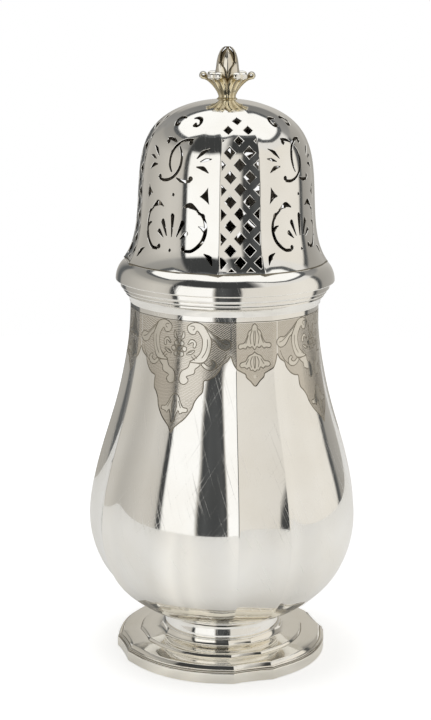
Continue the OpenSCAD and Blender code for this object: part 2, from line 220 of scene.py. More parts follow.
def set_round(name, part, finishes, count=4, start=0.0):
    """Sets copies of a part round the axis and returns the finished piece as a plain mesh object."""
    piece = bpy.data.objects.new(name, part)
    bpy.context.scene.collection.objects.link(piece)
    made = piece.modifiers.new("round", "NODES")
    made.node_group = round_tree(len(finishes))
    ids = {s.name: s.identifier for s in made.node_group.interface.items_tree if s.in_out == "INPUT"}
    made[ids["Count"]] = count
    made[ids["Start"]] = float(np.radians(start))
    made[ids["Weld"]] = 0.002 * MM
    for n, material in enumerate(finishes):
        made[ids[f"Finish {n}"]] = material
    graph = bpy.context.evaluated_depsgraph_get()
    made_piece = piece.evaluated_get(graph)
    mesh = bpy.data.meshes.new_from_object(made_piece, preserve_all_data_layers=True, depsgraph=graph)
    piece.modifiers.clear()
    piece.data = mesh
    mesh.name = name
    lie = np.zeros(len(mesh.loops) * 3, np.float32)
    mesh.attributes["lie"].data.foreach_get("vector", lie)
    lie = lie.reshape(-1, 3)
    place = np.zeros(len(mesh.vertices) * 3, np.float32)
    mesh.vertices.foreach_get("co", place)
    corner = np.zeros(len(mesh.loops), np.int32)
    mesh.loops.foreach_get("vertex_index", corner)
    place = place.reshape(-1, 3)[corner]
    a = np.arctan2(place[:, 1], place[:, 0])
    x = lie[:, 0] * np.cos(a) - lie[:, 1] * np.sin(a)
    y = lie[:, 0] * np.sin(a) + lie[:, 1] * np.cos(a)
    mesh.normals_split_custom_set(np.stack([x, y, lie[:, 2]], 1).tolist())
    mesh.attributes.remove(mesh.attributes["lie"])
    return piece


def span(tree, value, low, high, start=0.0, end=1.0):
    """Maps one stretch of values to another."""
    sockets = {"Value": value, "From Min": low, "From Max": high, "To Min": start, "To Max": end}
    return new_node(tree, "ShaderNodeMapRange", sockets).outputs[0]


def shades(tree, value, stops):
    """A ramp of colours; each stop is a position and a colour."""
    ramp = new_node(tree, "ShaderNodeValToRGB", {0: value})
    elements = ramp.color_ramp.elements
    elements.remove(elements[1])
    for n, (position, colour) in enumerate(stops):
        stop = elements.new(position) if n else elements[0]
        stop.position = position
        stop.color = (*colour, 1)
    return ramp.outputs[0]


def blend(tree, share, under, over):
    """Mixes two colours by a share."""
    return new_node(tree, "ShaderNodeMix", {0: share, 6: under, 7: over}, data_type="RGBA").outputs[2]


def silver(name, colour, worn, rough, haze, scratch, hatch=0.0):
    """Silver sheet: clouded by handling, rubbed by hairline scratches, and hatched where it is engraved."""
    material = bpy.data.materials.new(name)
    material.use_nodes = True
    tree = material.node_tree
    where = new_node(tree, "ShaderNodeTexCoord").outputs["Object"]
    cloud = new_node(tree, "ShaderNodeTexNoise", {"Vector": where, "Scale": 55, "Detail": 4}).outputs["Fac"]
    tone = shades(tree, cloud, [(0.3, colour), (0.8, worn)])
    dull = span(tree, cloud, 0.3, 0.75, rough, haze)
    apart = new_node(tree, "ShaderNodeSeparateXYZ", {0: where}).outputs
    mean_r = 0.04
    around = maths(tree, "MULTIPLY", maths(tree, "ARCTAN2", apart["Y"], apart["X"]), mean_r)
    level = new_node(tree, "ShaderNodeVectorMath", {0: where, 1: (1, 1, 0)}, operation="MULTIPLY")
    reach = new_node(tree, "ShaderNodeVectorMath", {0: level.outputs[0]}, operation="LENGTH")
    climb = maths(tree, "ADD", apart["Z"], reach.outputs["Value"])
    rolled_out = new_node(tree, "ShaderNodeCombineXYZ", {"X": around, "Y": climb}).outputs[0]
    hair_width, hair_length, hair_depth, hatch_depth = 0.0003, 0.018, 0.00003, 0.00004
    bump = None
    for lean, part in ((0.4, 1.0), (-0.75, 0.7)):
        lines = {"Vector": rolled_out, "Rotation": (0, 0, lean), "Scale": (hair_width, hair_length, 1)}
        lines = new_node(tree, "ShaderNodeMapping", lines, vector_type="TEXTURE").outputs[0]
        hair = {"Vector": lines, "Scale": 1, "Detail": 1}
        hair = new_node(tree, "ShaderNodeTexNoise", hair, noise_dimensions="2D").outputs["Fac"]
        mark = span(tree, hair, 0.63, 0.82)
        dull = maths(tree, "MULTIPLY_ADD", mark, scratch * part, dull)
        cut = {"Height": mark, "Strength": 0.07 * scratch * part, "Distance": hair_depth}
        if bump:
            cut["Normal"] = bump
        bump = new_node(tree, "ShaderNodeBump", cut).outputs[0]
    if hatch:
        strokes = {"Vector": where, "Scale": 1050, "Distortion": 2.5, "Detail": 2}
        strokes = new_node(tree, "ShaderNodeTexWave", strokes, bands_direction="DIAGONAL").outputs["Fac"]
        cut = {"Height": strokes, "Normal": bump, "Strength": hatch, "Distance": hatch_depth}
        bump = new_node(tree, "ShaderNodeBump", cut).outputs[0]
        tone = blend(tree, span(tree, strokes, 0, 1, 0.5, 0), tone, (0.34, 0.3, 0.24, 1))
    surface = {"Metallic": 1, "Base Color": tone, "Roughness": dull, "Normal": bump}
    plug(tree.nodes["Principled BSDF"], surface)
    return material


polished = silver("polished_silver", (0.95, 0.94, 0.91), (0.89, 0.865, 0.81), 0.03, 0.08, 0.28)
foot_silver = silver("foot_silver", (0.97, 0.945, 0.885), (0.92, 0.88, 0.79), 0.03, 0.08, 0.14)
tarnished = silver("tarnished_silver", (0.3, 0.27, 0.21), (0.2, 0.17, 0.12), 0.3, 0.45, 0.1)

rim_loop = (
    [(foot_r - foot_wall, 0)]
    + turn((foot_r - low_round, low_round), low_round, -90, 0)
    + [(foot_r, foot_rim_h / 2)]
    + turn((foot_r - top_round, foot_rim_h - top_round), top_round, 0, 90)
    + [(foot_r - foot_wall, foot_rim_h)]
)
foot_rim_part = quarter("foot_rim_quarter", rim_loop, FLAT, crest=foot_crest)
foot_rim = set_round("foot_rim_band", foot_rim_part, [foot_silver])
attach(foot_rim, "caster")
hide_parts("foot_rim")


# Foot dish: a sheet of silver raised over a stake, with a beaded edge, two steps and a rise at the collar.
# Its four narrow flats follow the rim's, so every step line breaks at the ridges.
collar_r, collar_wall, dish_wall = 20.3, 1.4, 1.0
edge = foot_r - 0.4
dish_face = (
    [(edge - 0.06, 0), (edge - 0.06, 0.2)]
    + turn((edge - 0.5, 0.55), 0.46, -25, 120)
    + [(edge - 0.85, 0.85), (edge - 1.0, 0.85), (edge - 1.1, 1.0), (edge - 1.5, 1.75)]
    + turn((edge - 1.95, 1.6), 0.45, 25, 85)
    + [(edge - 3.5, 2.15), (edge - 5.5, 2.28), (edge - 7.3, 2.38), (edge - 7.6, 2.36), (edge - 7.75, 2.4)]
    + [(edge - 7.85, 2.6), (edge - 8.1, 3.0)]
    + turn((edge - 8.5, 2.8), 0.42, 30, 86)
    + [(edge - 11, 3.26), (edge - 13, 3.3), (edge - 14, 3.36), (collar_r + 1.15, 3.55)]
    + [(collar_r + 0.8, 4.0), (collar_r + 0.5, 4.7), (collar_r + 0.3, 5.2)]
)
seat_r, seat_z, bore_r = collar_r - 0.3, 2.9, collar_r - collar_wall
dish_back = [(seat_r, 5.15), (seat_r, seat_z), (bore_r, seat_z), (bore_r, seat_z - dish_wall)]
dish_back += [(r, z - dish_wall) for r, z in reversed(dish_face) if r > collar_r + 1.5]
dish_loop = [(r, foot_rim_h + z) for r, z in dish_face + dish_back]
dish_corners = [(edge - 0.07, edge - 0.05), (edge - 1.02, edge - 0.83), (edge - 7.77, edge - 7.58)]
dish_part = quarter("foot_dish_quarter", dish_loop, FLAT, crest=foot_crest, corners=dish_corners)
foot_dish = set_round("foot_stepped_dish", dish_part, [foot_silver, tarnished])
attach(foot_dish, "caster")
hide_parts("foot_dish")


# Foot collar: a short waisted tube with a fine bead, soldered between the foot and the body.
# A narrow fillet closes its top against the body's base.
collar_low, collar_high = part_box("foot_collar")
low, high = collar_low[2] / MM, collar_high[2] / MM
collar_loop = (
    [(bore_r, low), (collar_r, low), (collar_r + 0.1, low + 2.1)]
    + turn((collar_r + 0.1, low + 2.65), 0.42, -80, 80, 10)
    + [(collar_r + 0.2, low + 3.2), (collar_r + 0.17, low + 3.7), (collar_r + 0.08, low + 4.2)]
    + [(collar_r - 0.18, low + 5.2), (collar_r - 0.42, low + 6.2)]
    + [(collar_r - 0.5, low + 6.8), (collar_r - 0.4, low + 7.5)]
    + turn((collar_r + 0.1, high - 0.45), 0.36, -110, 70, 10)
    + [(collar_r + 0.3, high), (bore_r, high)]
)
foot_collar = set_round("foot_collar_tube", quarter("foot_collar_quarter", collar_loop), [polished])
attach(foot_collar, "caster")
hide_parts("foot_collar")


# Body: a baluster raised from one sheet of silver, with four wide swelling panels and four narrow flats.
# Its neck is engraved below the ring with hanging straps, bellflowers and leaves on a hatched ground.
body_low, body_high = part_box("body_shell")
body_z, ring_z = body_low[2] / MM, body_high[2] / MM
belly_z = body_z + 34.5
base_r, belly_r, neck_r = 21.5, 45.3, 31.9
engraved_z, body_wall, body_floor = 85.0, 1.0, 1.2
SMALL_RISE = 0.01


def ease(value, start, end):
    """Rises smoothly from 0 to 1 between two values."""
    t = np.clip((value - start) / (end - start), 0, 1)
    return t * t * (3 - 2 * t)


def body_curve(z):
    """Radius of the body's outline at a height: a full round bowl, then the long sweep of the neck."""
    t = np.clip((z - body_z) / (belly_z - body_z), 0, 1)
    bowl = base_r + (belly_r - base_r) * (1 - (1 - t) ** 2) ** 0.62
    t = np.clip((z - belly_z) / (ring_z - belly_z), 0, 1)
    sweep = neck_r + (belly_r - neck_r) * (1 - t ** 1.8) ** 2.95
    return np.where(z < belly_z, bowl, sweep)


def body_radius(angle, z, on_flat):
    """Radius of the body's panels at an angle from a narrow panel's middle; both sweep up to the ridges."""
    raised = ease(z, 16, 30) * (1 - 0.75 * ease(z, 98, 123))
    turns = np.radians(4 * angle)
    uneven = np.sin(z / 6.1 + 1.3) * np.cos(turns) + 0.7 * np.sin(z / 4.3) * np.sin(2 * turns + 0.8)
    curve = body_curve(z) + 0.035 * raised * uneven
    half = np.radians(45 - FLAT)
    swell = 1 + 0.32 * raised
    round_r = np.sin(half) / np.sin(swell * half)
    mid = np.cos(half) - round_r * np.cos(swell * half)
    crest, height_per_slope = 5.0, 0.886
    wide_rise = 0.53 * raised * crest * height_per_slope
    narrow_rise = 0.28 * raised * (1 - 0.5 * ease(z, 50, 85)) * crest * height_per_slope

    def wide_at(a, ridge):
        gap = (half - np.abs(a)) * curve
        reach = mid * np.cos(a) + np.sqrt(round_r ** 2 - (mid * np.sin(a)) ** 2)
        return (ridge - wide_rise) * reach + wide_rise * erfc(gap / crest)

    outline = np.radians(27.4)
    base = wide_at(outline, 0.0)
    ridge = (curve - base) / (wide_at(outline, 1.0) - base)
    gap = (np.radians(FLAT) - np.abs(np.radians(angle))) * curve
    hollow = narrow_rise * (1 - erfc(gap / crest))
    chord = ridge * np.cos(np.radians(FLAT)) / np.cos(np.radians(angle)) - hollow
    return np.where(on_flat, chord, wide_at(np.radians(angle - 45), ridge))


def body_normal(angle, z):
    """The body's normal as out, along and up; it is the mean of both panels on a ridge."""
    rel = (angle + 45) % 90 - 45
    share = np.clip((FLAT - np.abs(rel)) * 1e4 + 0.5, 0, 1)
    total = np.zeros(np.shape(angle) + (3,))
    for on_flat, part in ((True, share), (False, 1 - share)):
        local = rel if on_flat else np.where(rel < 0, rel + 90, rel)
        r = body_radius(local, z, on_flat)
        along = body_radius(local + SMALL_TURN, z, on_flat) - body_radius(local - SMALL_TURN, z, on_flat)
        along = along / np.radians(2 * SMALL_TURN)
        up = body_radius(local, z + SMALL_RISE, on_flat) - body_radius(local, z - SMALL_RISE, on_flat)
        up = up / (2 * SMALL_RISE)
        total = total + unit(np.stack([r, -along, -r * up], -1)) * np.asarray(part)[..., None]
    return unit(total)


body_angles = plan(FLAT, 56)[0]
body_on_flat = np.abs(body_angles) <= FLAT
low_rows = body_z + (belly_z - body_z) * np.linspace(0, 1, 40) ** 2
low_rows = np.concatenate([low_rows, np.linspace(belly_z, engraved_z, 36)[1:]])
bowl_rows = body_z + body_floor + (belly_z - body_z - body_floor) * np.linspace(1, 0, 24)[1:] ** 2
high_rows = np.concatenate([np.linspace(ring_z, belly_z, 40), bowl_rows])


def body_strip(rows, inside):
    """A grid of the body's wall over some heights, outside or inside."""
    cols = len(body_angles)
    grid_a, grid_z = np.broadcast_to(body_angles, (len(rows), cols)), np.repeat(rows[:, None], cols, 1)
    r = body_radius(grid_a, grid_z, np.broadcast_to(body_on_flat, grid_a.shape))
    normal = body_normal(grid_a, grid_z)
    if inside:
        r = r - body_wall / np.maximum(normal[..., 0], 0.45)
        normal = -normal
    a = np.radians(grid_a)
    verts = np.stack([r * np.cos(a), r * np.sin(a), grid_z], -1)
    return verts, normal


class Shell:
    """Collects the strips of one quarter of a piece into a single mesh."""

    def __init__(self):
        self.verts, self.faces, self.lie, self.finish, self.flat = [], [], [], [], []

    def grid(self, verts, normal, finish=0):
        """Adds rows of points that run round the plan; the rows climb the outside or go down the inside."""
        rows, cols = verts.shape[:2]
        start = len(self.verts)
        self.verts.extend(verts.reshape(-1, 3))
        for i in range(rows - 1):
            for j in range(cols - 1):
                ring = [(i, j), (i, j + 1), (i + 1, j + 1), (i + 1, j)]
                self.faces.append([start + y * cols + x for y, x in ring])
                self.lie.extend(normal[y, x] for y, x in ring)
                self.finish.append(finish)
                self.flat.append(False)

    def face(self, corners, lie, finish, flat):
        """Adds one face from vertex numbers and its corners' normals."""
        self.faces.append(list(corners))
        self.lie.extend(lie)
        self.finish.append(finish)
        self.flat.append(flat)

    def mesh(self, name):
        """The collected quarter as a mesh."""
        return sheet_mesh(name, np.array(self.verts), self.faces, np.array(self.lie), self.finish, self.flat)


def disc(r_from, r_to, z, up):
    """Two rows of a flat ring of the body between radii, which may change round the plan."""
    a = np.radians(body_angles)
    rows = []
    for r in (r_from, r_to):
        r = np.broadcast_to(r, a.shape)
        rows.append(np.stack([r * np.cos(a), r * np.sin(a), np.full(a.shape, z)], -1))
    normal = np.zeros((2, len(a), 3))
    normal[..., 2] = up
    return np.stack(rows), normal


def smooth_path(points, step=0.3):
    """A smooth curve through points, at an even step."""
    p = np.array(points, float)
    if len(p) == 2:
        p = np.array([p[0], p.mean(0), p[1]])
    ends = np.vstack([2 * p[0] - p[1], p, 2 * p[-1] - p[-2]])
    curve = []
    for i in range(1, len(ends) - 2):
        a, b, c, d = ends[i - 1 : i + 3]
        for t in np.linspace(0, 1, 8, endpoint=False):
            t2, t3 = t * t, t * t * t
            square, cube = 2 * a - 5 * b + 4 * c - d, 3 * b - a - 3 * c + d
            curve.append(0.5 * (2 * b + (c - a) * t + square * t2 + cube * t3))
    curve = np.array(curve + [p[-1]])
    length = np.concatenate([[0], np.cumsum(np.linalg.norm(np.diff(curve, axis=0), axis=1))])
    even = np.linspace(0, length[-1], max(4, int(length[-1] / step) + 1))
    return np.stack([np.interp(even, length, curve[:, k]) for k in (0, 1)], 1)


def ribbon(points, halves, grow=0.0, step=0.3):
    """Outline of a line that swells and tapers: half widths are given along it and its ends are round."""
    path = smooth_path(points, step)
    share = np.linspace(0, 1, len(path))
    half = np.interp(share, np.linspace(0, 1, len(halves)), halves) + grow
    run = unit(np.gradient(path, axis=0))
    side = np.stack([-run[:, 1], run[:, 0]], 1)
    turn_end = np.radians(np.linspace(80, -80, 5))[:, None]
    cap_end = path[-1] + half[-1] * (np.cos(turn_end) * run[-1] + np.sin(turn_end) * side[-1])
    cap_start = path[0] - half[0] * (np.cos(turn_end) * run[0] + np.sin(turn_end) * side[0])
    left, right = path + side * half[:, None], path - side * half[:, None]
    return np.vstack([left, cap_end, right[::-1], cap_start])


def ball(mid, r, grow=0.0, steps=14):
    """Outline of a round hole."""
    a = np.linspace(0, 2 * np.pi, steps, endpoint=False)
    return np.array(mid) + (r + grow) * np.stack([np.cos(a), np.sin(a)], 1)


def arc_points(mid, r, start, end, steps=10):
    """Points on part of a circle, in degrees."""
    a = np.radians(np.linspace(start, end, steps))
    return np.array(mid) + r * np.stack([np.cos(a), np.sin(a)], 1)


def keep_side(outline, limit, sign):
    """The part of an outline on one side of an upright line."""
    result = []
    for p, q in zip(outline, np.roll(outline, -1, 0)):
        inside_p, inside_q = sign * p[0] <= sign * limit, sign * q[0] <= sign * limit
        if inside_p:
            result.append(p)
        if inside_p != inside_q:
            result.append(p + (q - p) * (limit - p[0]) / (q[0] - p[0]))
    return np.array(result)


def facing(outline):
    """The outline turned counter-clockwise."""
    x, y = outline[:, 0], outline[:, 1]
    return outline if (x * np.roll(y, -1) - y * np.roll(x, -1)).sum() > 0 else outline[::-1]


def drawn_on(points, lines, outlines):
    """Points and triangles of a flat sheet with lines and outlines drawn on it,
    and the outlines that hold each triangle."""
    verts, edges, faces = [Vector(p) for p in points], [], []
    for line in lines:
        start = len(verts)
        verts += [Vector(p) for p in line]
        edges += [(start + i, start + i + 1) for i in range(len(line) - 1)]
    for outline in outlines:
        start = len(verts)
        verts += [Vector(p) for p in facing(outline)]
        faces.append(list(range(start, start + len(outline))))
    made = delaunay_2d_cdt(verts, edges, faces, 0, 1e-4, True)
    return np.array([v[:] for v in made[0]]), made[2], made[5]


def clear_of(points, outlines, gap):
    """The points that keep a distance from every outline's corners."""
    marks = np.vstack(outlines)
    near = np.zeros(len(points), bool)
    for chunk in np.array_split(marks, 40):
        near |= (np.abs(points[:, None] - chunk[None]).max(2) < gap).any(1)
    return points[~near]


def upright_lines(angles, rows, scale):
    """Lines up a flattened sheet at some angles."""
    return [np.stack([np.full(len(rows), a * scale), rows], 1) for a in angles]


def level_lines(angles, heights, scale):
    """Lines across a flattened sheet at some heights."""
    return [np.stack([angles * scale, np.full(len(angles), z)], 1) for z in heights]


def both_sides(right):
    """A closed outline from its right half."""
    return right + [(-x, z) for x, z in right[-2:0:-1]]


neck_scale = 33.0
around_mm = neck_scale * np.pi / 180


def strap_outlines():
    """Straps, leaves and petals of a wide panel's right half, and those of its middle:
    closed outlines in mm."""
    side = [
        [(8.7, 121.3), (10.2, 118.9), (11.1, 117), (11.3, 115.3), (10.5, 111.8), (8.6, 109.3), (4.2, 109.3),
         (5.5, 110.2), (7.3, 111.9), (8.1, 114), (8.2, 116.6), (7.4, 118.4), (6.3, 119.6), (5.6, 118.3),
         (3.7, 118.6), (2.9, 120.6), (4.9, 122.1), (7.2, 122.1)],
        [(8.9, 121.2), (11.8, 118.8), (14.6, 116.8), (15.4, 117), (16.4, 117), (17.7, 116.1), (17.8, 114.8),
         (16.5, 113.6), (14.9, 113.7), (13.6, 114.6), (12.2, 116.6), (11.2, 117.2)],
        [(7.9, 108.6), (9.4, 107.2), (11.2, 106.8), (12.7, 107.6), (12.9, 109.3), (11.6, 110.3),
         (11.1, 109.5), (11.7, 108.9), (10.3, 108.2), (8.8, 109.2)],
        [(4.2, 109.2), (3.5, 107.4), (1.5, 106.1), (0.8, 104.3), (1.0, 102.6), (2.3, 101.8), (3.6, 102.5),
         (3.9, 103.6), (3.1, 104.4), (4.0, 104.8), (5.8, 105.6), (6.0, 107.0), (6.8, 107.6), (7.6, 108.8)],
        ribbon([(3.3, 114.9), (4.5, 116.1), (5.7, 115.5), (5.5, 114.3)], [0.2, 0.5, 0.42, 0.5]),
        ribbon([(2.9, 111.6), (4.2, 112.2), (5.6, 112.9)], [0.2, 0.6, 0.2]),
        ribbon([(0.6, 116.2), (1.5, 117.4), (1.7, 118.9)], [0.2, 0.55, 0.25]),
    ]
    for at in (60, 0, -60):
        side.append(arc_points((0, 113.3), 2.0, at, at, 1)[0] + arc_points((0, 0), 0.85, 0, 330, 12))
    beads = ((113.3, 0.9), (108.5, 0.5), (106.2, 0.4), (103.3, 0.45), (100.8, 0.5))
    middle = [ball((0, z), r) for z, r in beads]
    bell = [(0, 98.8), (1.2, 98.0), (2.0, 96.2), (3.0, 94.6), (4.4, 94.3), (4.3, 93.2), (3.0, 93.0),
            (2.1, 92.4), (1.6, 93.6), (1.0, 92.2), (0.6, 90.4), (0, 89.2)]
    middle.append(both_sides(bell))
    return side, middle


def bell_outlines():
    """Two bellflowers that hang one below the other on a narrow panel, with a drop: closed outlines in mm."""
    upper = [(0, 122.0), (0.9, 121.2), (1.0, 120.2), (2.1, 119.4), (2.8, 117.4), (3.8, 115.7), (5.3, 115.5),
             (5.8, 114.5), (5.0, 113.8), (4.1, 114.2), (3.2, 113.7), (2.5, 114.7), (1.6, 113.9), (0.9, 114.6),
             (0, 113.3)]
    lower = [(0, 112.7), (0.8, 112.0), (2.2, 111.4), (3.3, 109.8), (4.7, 109.5), (5.3, 108.6), (4.6, 107.8),
             (3.6, 108.0), (2.9, 107.2), (2.0, 107.9), (1.4, 106.6), (0.8, 107.0), (0, 106.2)]
    return [both_sides(upper), both_sides(lower), ball((0, 104.7), 0.6)]


hem_wide = [(17.6, 111.6), (16.6, 109.9), (14.7, 108.6), (14.2, 107.3), (13.5, 106.1), (12.2, 104.7),
            (10.6, 103.8), (9.1, 103.4), (9.0, 101.3), (8.7, 99.6), (7.6, 98.4), (6.5, 96.6), (5.9, 94.6),
            (5.3, 93.4), (4.9, 92.7), (3.7, 91.0), (2.0, 89.3), (0.8, 88.0), (0, 86.4)]
hem_narrow = [(8.0, 111.4), (7.3, 109.2), (6.2, 107.4), (4.4, 106.3), (3.2, 105.6), (3.0, 104.6),
              (1.6, 103.3), (0, 101.6)]
veins_wide = [
    [(9.6, 120.1), (12.4, 117.8), (15.4, 115.6), (16.8, 115.3)],
    [(4.1, 120.9), (5.2, 121.0), (5.6, 120.2), (4.9, 119.7)],
    [(3.3, 112.0), (4.8, 112.6)],
    [(9.9, 116.8), (9.9, 114.6), (9.3, 112.6), (8.2, 110.8)],
    [(12.8, 107.6), (14.4, 109.0), (15.6, 110.6), (16.4, 112.4)],
    [(4.6, 111.0), (5.8, 109.9)],
    [(5.4, 111.6), (6.5, 110.5)],
    [(0.5, 97.2), (0.9, 95.0), (0.5, 92.6)],
    [(1.4, 96.4), (2.2, 94.4)],
]
veins_narrow = [
    [(0.9, 119.8), (1.6, 117.6), (1.3, 115.4)],
    [(0.2, 119.6), (0.3, 117.0), (0.1, 114.8)],
    [(2.2, 118.2), (3.1, 115.6)],
    [(0.8, 111.2), (1.5, 109.6), (1.2, 107.8)],
    [(0.2, 111.2), (0.3, 109.2), (0.1, 107.4)],
    [(2.2, 110.4), (3.1, 108.8)],
]


def laid_on_neck(points, at):
    """Puts a drawing in mm on the flattened neck, about a panel's middle in degrees."""
    return np.asarray(points, float) + (at * around_mm, 0)


def clipped(outline):
    """The part of an outline that lies on the quarter."""
    outline = keep_side(np.asarray(outline, float), -FLAT * around_mm, -1)
    return keep_side(outline, (90 - FLAT) * around_mm, 1) if len(outline) else outline


def runs_inside(path):
    """The stretches of a line that lie on the quarter, ending exactly on its borders."""
    low, high = -FLAT * around_mm, (90 - FLAT) * around_mm
    runs, now = [], []
    for p, q in zip(path, np.vstack([path[1:], path[-1:]])):
        if low <= p[0] <= high:
            now.append(p)
        for limit in (low, high):
            if (p[0] - limit) * (q[0] - limit) < 0:
                now.append(p + (q - p) * (limit - p[0]) / (q[0] - p[0]))
        if now and not low <= q[0] <= high:
            runs.append(np.array(now))
            now = []
    return [run for run in runs + ([np.array(now)] if now else []) if len(run) > 1]


POLISHED, INSIDE, HATCHED, ENGRAVED, ORNAMENT = range(5)
ground_top, border_z, draw_step = 122.2, 122.5, 0.45
hem_cut, shape_cut, vein_cut, cut_depth = 0.2, 0.15, 0.12, 0.11
strap_sides, strap_middle = strap_outlines()
wide_shapes = [(shape, (1, -1)) for shape in strap_sides] + [(shape, (1,)) for shape in strap_middle]
narrow_shapes = [(shape, (1,)) for shape in bell_outlines()]
narrow_panel = (narrow_shapes, veins_narrow, hem_narrow)
panels = ((0, *narrow_panel), (90, *narrow_panel), (45, wide_shapes, veins_wide, hem_wide))
smooth, ground, drawing = [], [], []
for at, shapes, veins, hem in panels:
    hem = np.array(hem)
    both = np.vstack([hem, (hem * (-1, 1))[-2::-1]])
    top_right, top_left = (hem[0, 0], ground_top), (-hem[0, 0], ground_top)
    ground.append(clipped(laid_on_neck(np.vstack([[top_right], both, [top_left]]), at)))
    drawing.append((laid_on_neck(both, at), hem_cut))
    for shape, flips in shapes:
        for flip in flips:
            closed = smooth_path(np.vstack([shape, shape[:1]]) * (flip, 1), draw_step)
            smooth.append(clipped(laid_on_neck(closed[:-1], at)))
            drawing.append((laid_on_neck(closed, at), shape_cut))
    for vein in veins:
        for flip in (1, -1):
            path = smooth_path(np.array(vein) * (flip, 1), draw_step)
            drawing.append((laid_on_neck(path, at), vein_cut))
drawing.append((np.array([(a * around_mm, border_z) for a in body_angles]), vein_cut))
cuts, cut_lines = [], []
for path, half in drawing:
    for run in runs_inside(path):
        cut_lines.append(run)
        for first in range(0, len(run) - 1, 8):
            cuts.append(clipped(ribbon(run[first : first + 9], [half], 0.0, 0.5)))
cuts, smooth, ground = ([o for o in group if len(o) > 2] for group in (cuts, smooth, ground))
outlines = cuts + smooth + ground
neck_rows = np.linspace(engraved_z, ring_z, 32)
neck_lines = upright_lines((-FLAT, FLAT, 90 - FLAT), neck_rows, around_mm)
neck_lines += level_lines(body_angles, (engraved_z, ring_z), around_mm)
off_ridge = [a for a in body_angles[1:-1] if abs(a - FLAT) > 1e-6]
field = np.array([(a * around_mm, z) for a in off_ridge for z in neck_rows[1:-1]])
field = clear_of(field, outlines, 0.4)
neck_flat, neck_tris, neck_held = drawn_on(field, neck_lines + cut_lines, outlines)
neck_kind = []
for held in neck_held:
    if any(k < len(cuts) for k in held):
        neck_kind.append(ENGRAVED)
    elif any(k < len(cuts) + len(smooth) for k in held):
        neck_kind.append(ORNAMENT)
    else:
        neck_kind.append(HATCHED if held else POLISHED)
touches = [set() for _ in neck_flat]
for tri, kind in zip(neck_tris, neck_kind):
    for k in tri:
        touches[k].add(kind)
sunk = np.array([kinds == {ENGRAVED} for kinds in touches])
neck_angle, neck_z = neck_flat[:, 0] / around_mm, neck_flat[:, 1]
neck_normal = body_normal(neck_angle, neck_z)
neck_r_at = body_radius(neck_angle, neck_z, neck_angle <= FLAT + 1e-6) - np.where(sunk, cut_depth, 0)
neck_a = np.radians(neck_angle)
neck_verts = np.stack([neck_r_at * np.cos(neck_a), neck_r_at * np.sin(neck_a), neck_z], 1)


def radius_at(row):
    """Radii of a row of points."""
    return np.hypot(row[:, 0], row[:, 1])


body = Shell()
outer_low, outer_low_n = body_strip(low_rows, False)
inner_all, inner_n = body_strip(high_rows, True)
body.grid(*disc(0, radius_at(outer_low[0]), body_z, -1))
body.grid(outer_low, outer_low_n)
start = len(body.verts)
body.verts.extend(neck_verts)
for tri, kind in zip(neck_tris, neck_kind):
    cut = kind == ENGRAVED
    body.face([start + k for k in tri], [np.zeros(3) if cut else neck_normal[k] for k in tri], kind, cut)
top_out = radius_at(body_strip(np.array([ring_z]), False)[0][0])
body.grid(*disc(top_out, radius_at(inner_all[0]), ring_z, 1))
body.grid(inner_all, inner_n, INSIDE)
body.grid(*disc(radius_at(inner_all[-1]), 0, inner_all[-1][0, 2], 1), INSIDE)
# The inside's silver is unpolished and tarnished, and its colour is darkened further as painted shade where
# little light reaches.
unpolished_silver_painted_shade = silver("unpolished_silver_painted_shade", (0.42, 0.39, 0.34), (0.3, 0.27, 0.22), 0.26, 0.4, 0.3)
hatched = silver("hatched_silver", (0.77, 0.73, 0.66), (0.67, 0.62, 0.54), 0.12, 0.18, 0.1, 0.5)
engraved = silver("engraved_line_silver", (0.38, 0.34, 0.28), (0.27, 0.24, 0.18), 0.26, 0.36, 0.1)
ornament = silver("ornament_silver", (0.78, 0.745, 0.675), (0.7, 0.66, 0.58), 0.1, 0.16, 0.1)
body_finishes = [polished, unpolished_silver_painted_shade, hatched, engraved, ornament]
body_shell = set_round("body_baluster", body.mesh("body_quarter"), body_finishes)
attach(body_shell, "caster")
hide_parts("body_shell")


# Neck ring: a hollow-sided band turned to fit the mouth and soldered on the body's top edge.
# The cover's lip comes down just above it.
ring_low, ring_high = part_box("neck_ring")
low, high = ring_low[2] / MM, ring_high[2] / MM
out, mouth = ring_high[0] / MM, 29.4
cove = [(neck_r + 0.5 + 1.4 * t * t, low + 0.25 + 2.6 * t) for t in np.linspace(0, 1, 9)]
ring_loop = (
    [(mouth, low), (neck_r + 0.35, low)]
    + cove
    + [(out - 0.02, low + 3.0)]
    + turn((out - 0.2, high - 0.2), 0.2, 0, 90)
    + turn((mouth + 0.2, high - 0.2), 0.2, 90, 180)
)
neck_ring = set_round("neck_ring_band", quarter("neck_ring_quarter", ring_loop), [polished])
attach(neck_ring, "caster")
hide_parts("neck_ring")


# Cover sleeve: a plain tube soldered inside the cover that pushes into the mouth.
# Its lower edge is rounded so that it finds its way in.
sleeve_low, sleeve_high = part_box("cover_sleeve")
low, high = sleeve_low[2] / MM, sleeve_high[2] / MM
sleeve_r, sleeve_wall = sleeve_high[0] / MM, 0.9
sleeve_bore = sleeve_r - sleeve_wall
cover_silver = silver("cover_silver", (0.95, 0.94, 0.91), (0.89, 0.865, 0.81), 0.03, 0.08, 0.13)
sleeve_loop = (
    turn((sleeve_r - 0.45, low + 0.45), 0.45, 180, 360, 10)
    + [(sleeve_r, low + 2), (sleeve_r, high - 1), (sleeve_r, high)]
    + [(sleeve_bore, high), (sleeve_bore, low + 2)]
)
cover_sleeve = set_round("cover_sleeve_tube", quarter("sleeve_quarter", sleeve_loop), [cover_silver])
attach(cover_sleeve, "cover")
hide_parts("cover_sleeve")


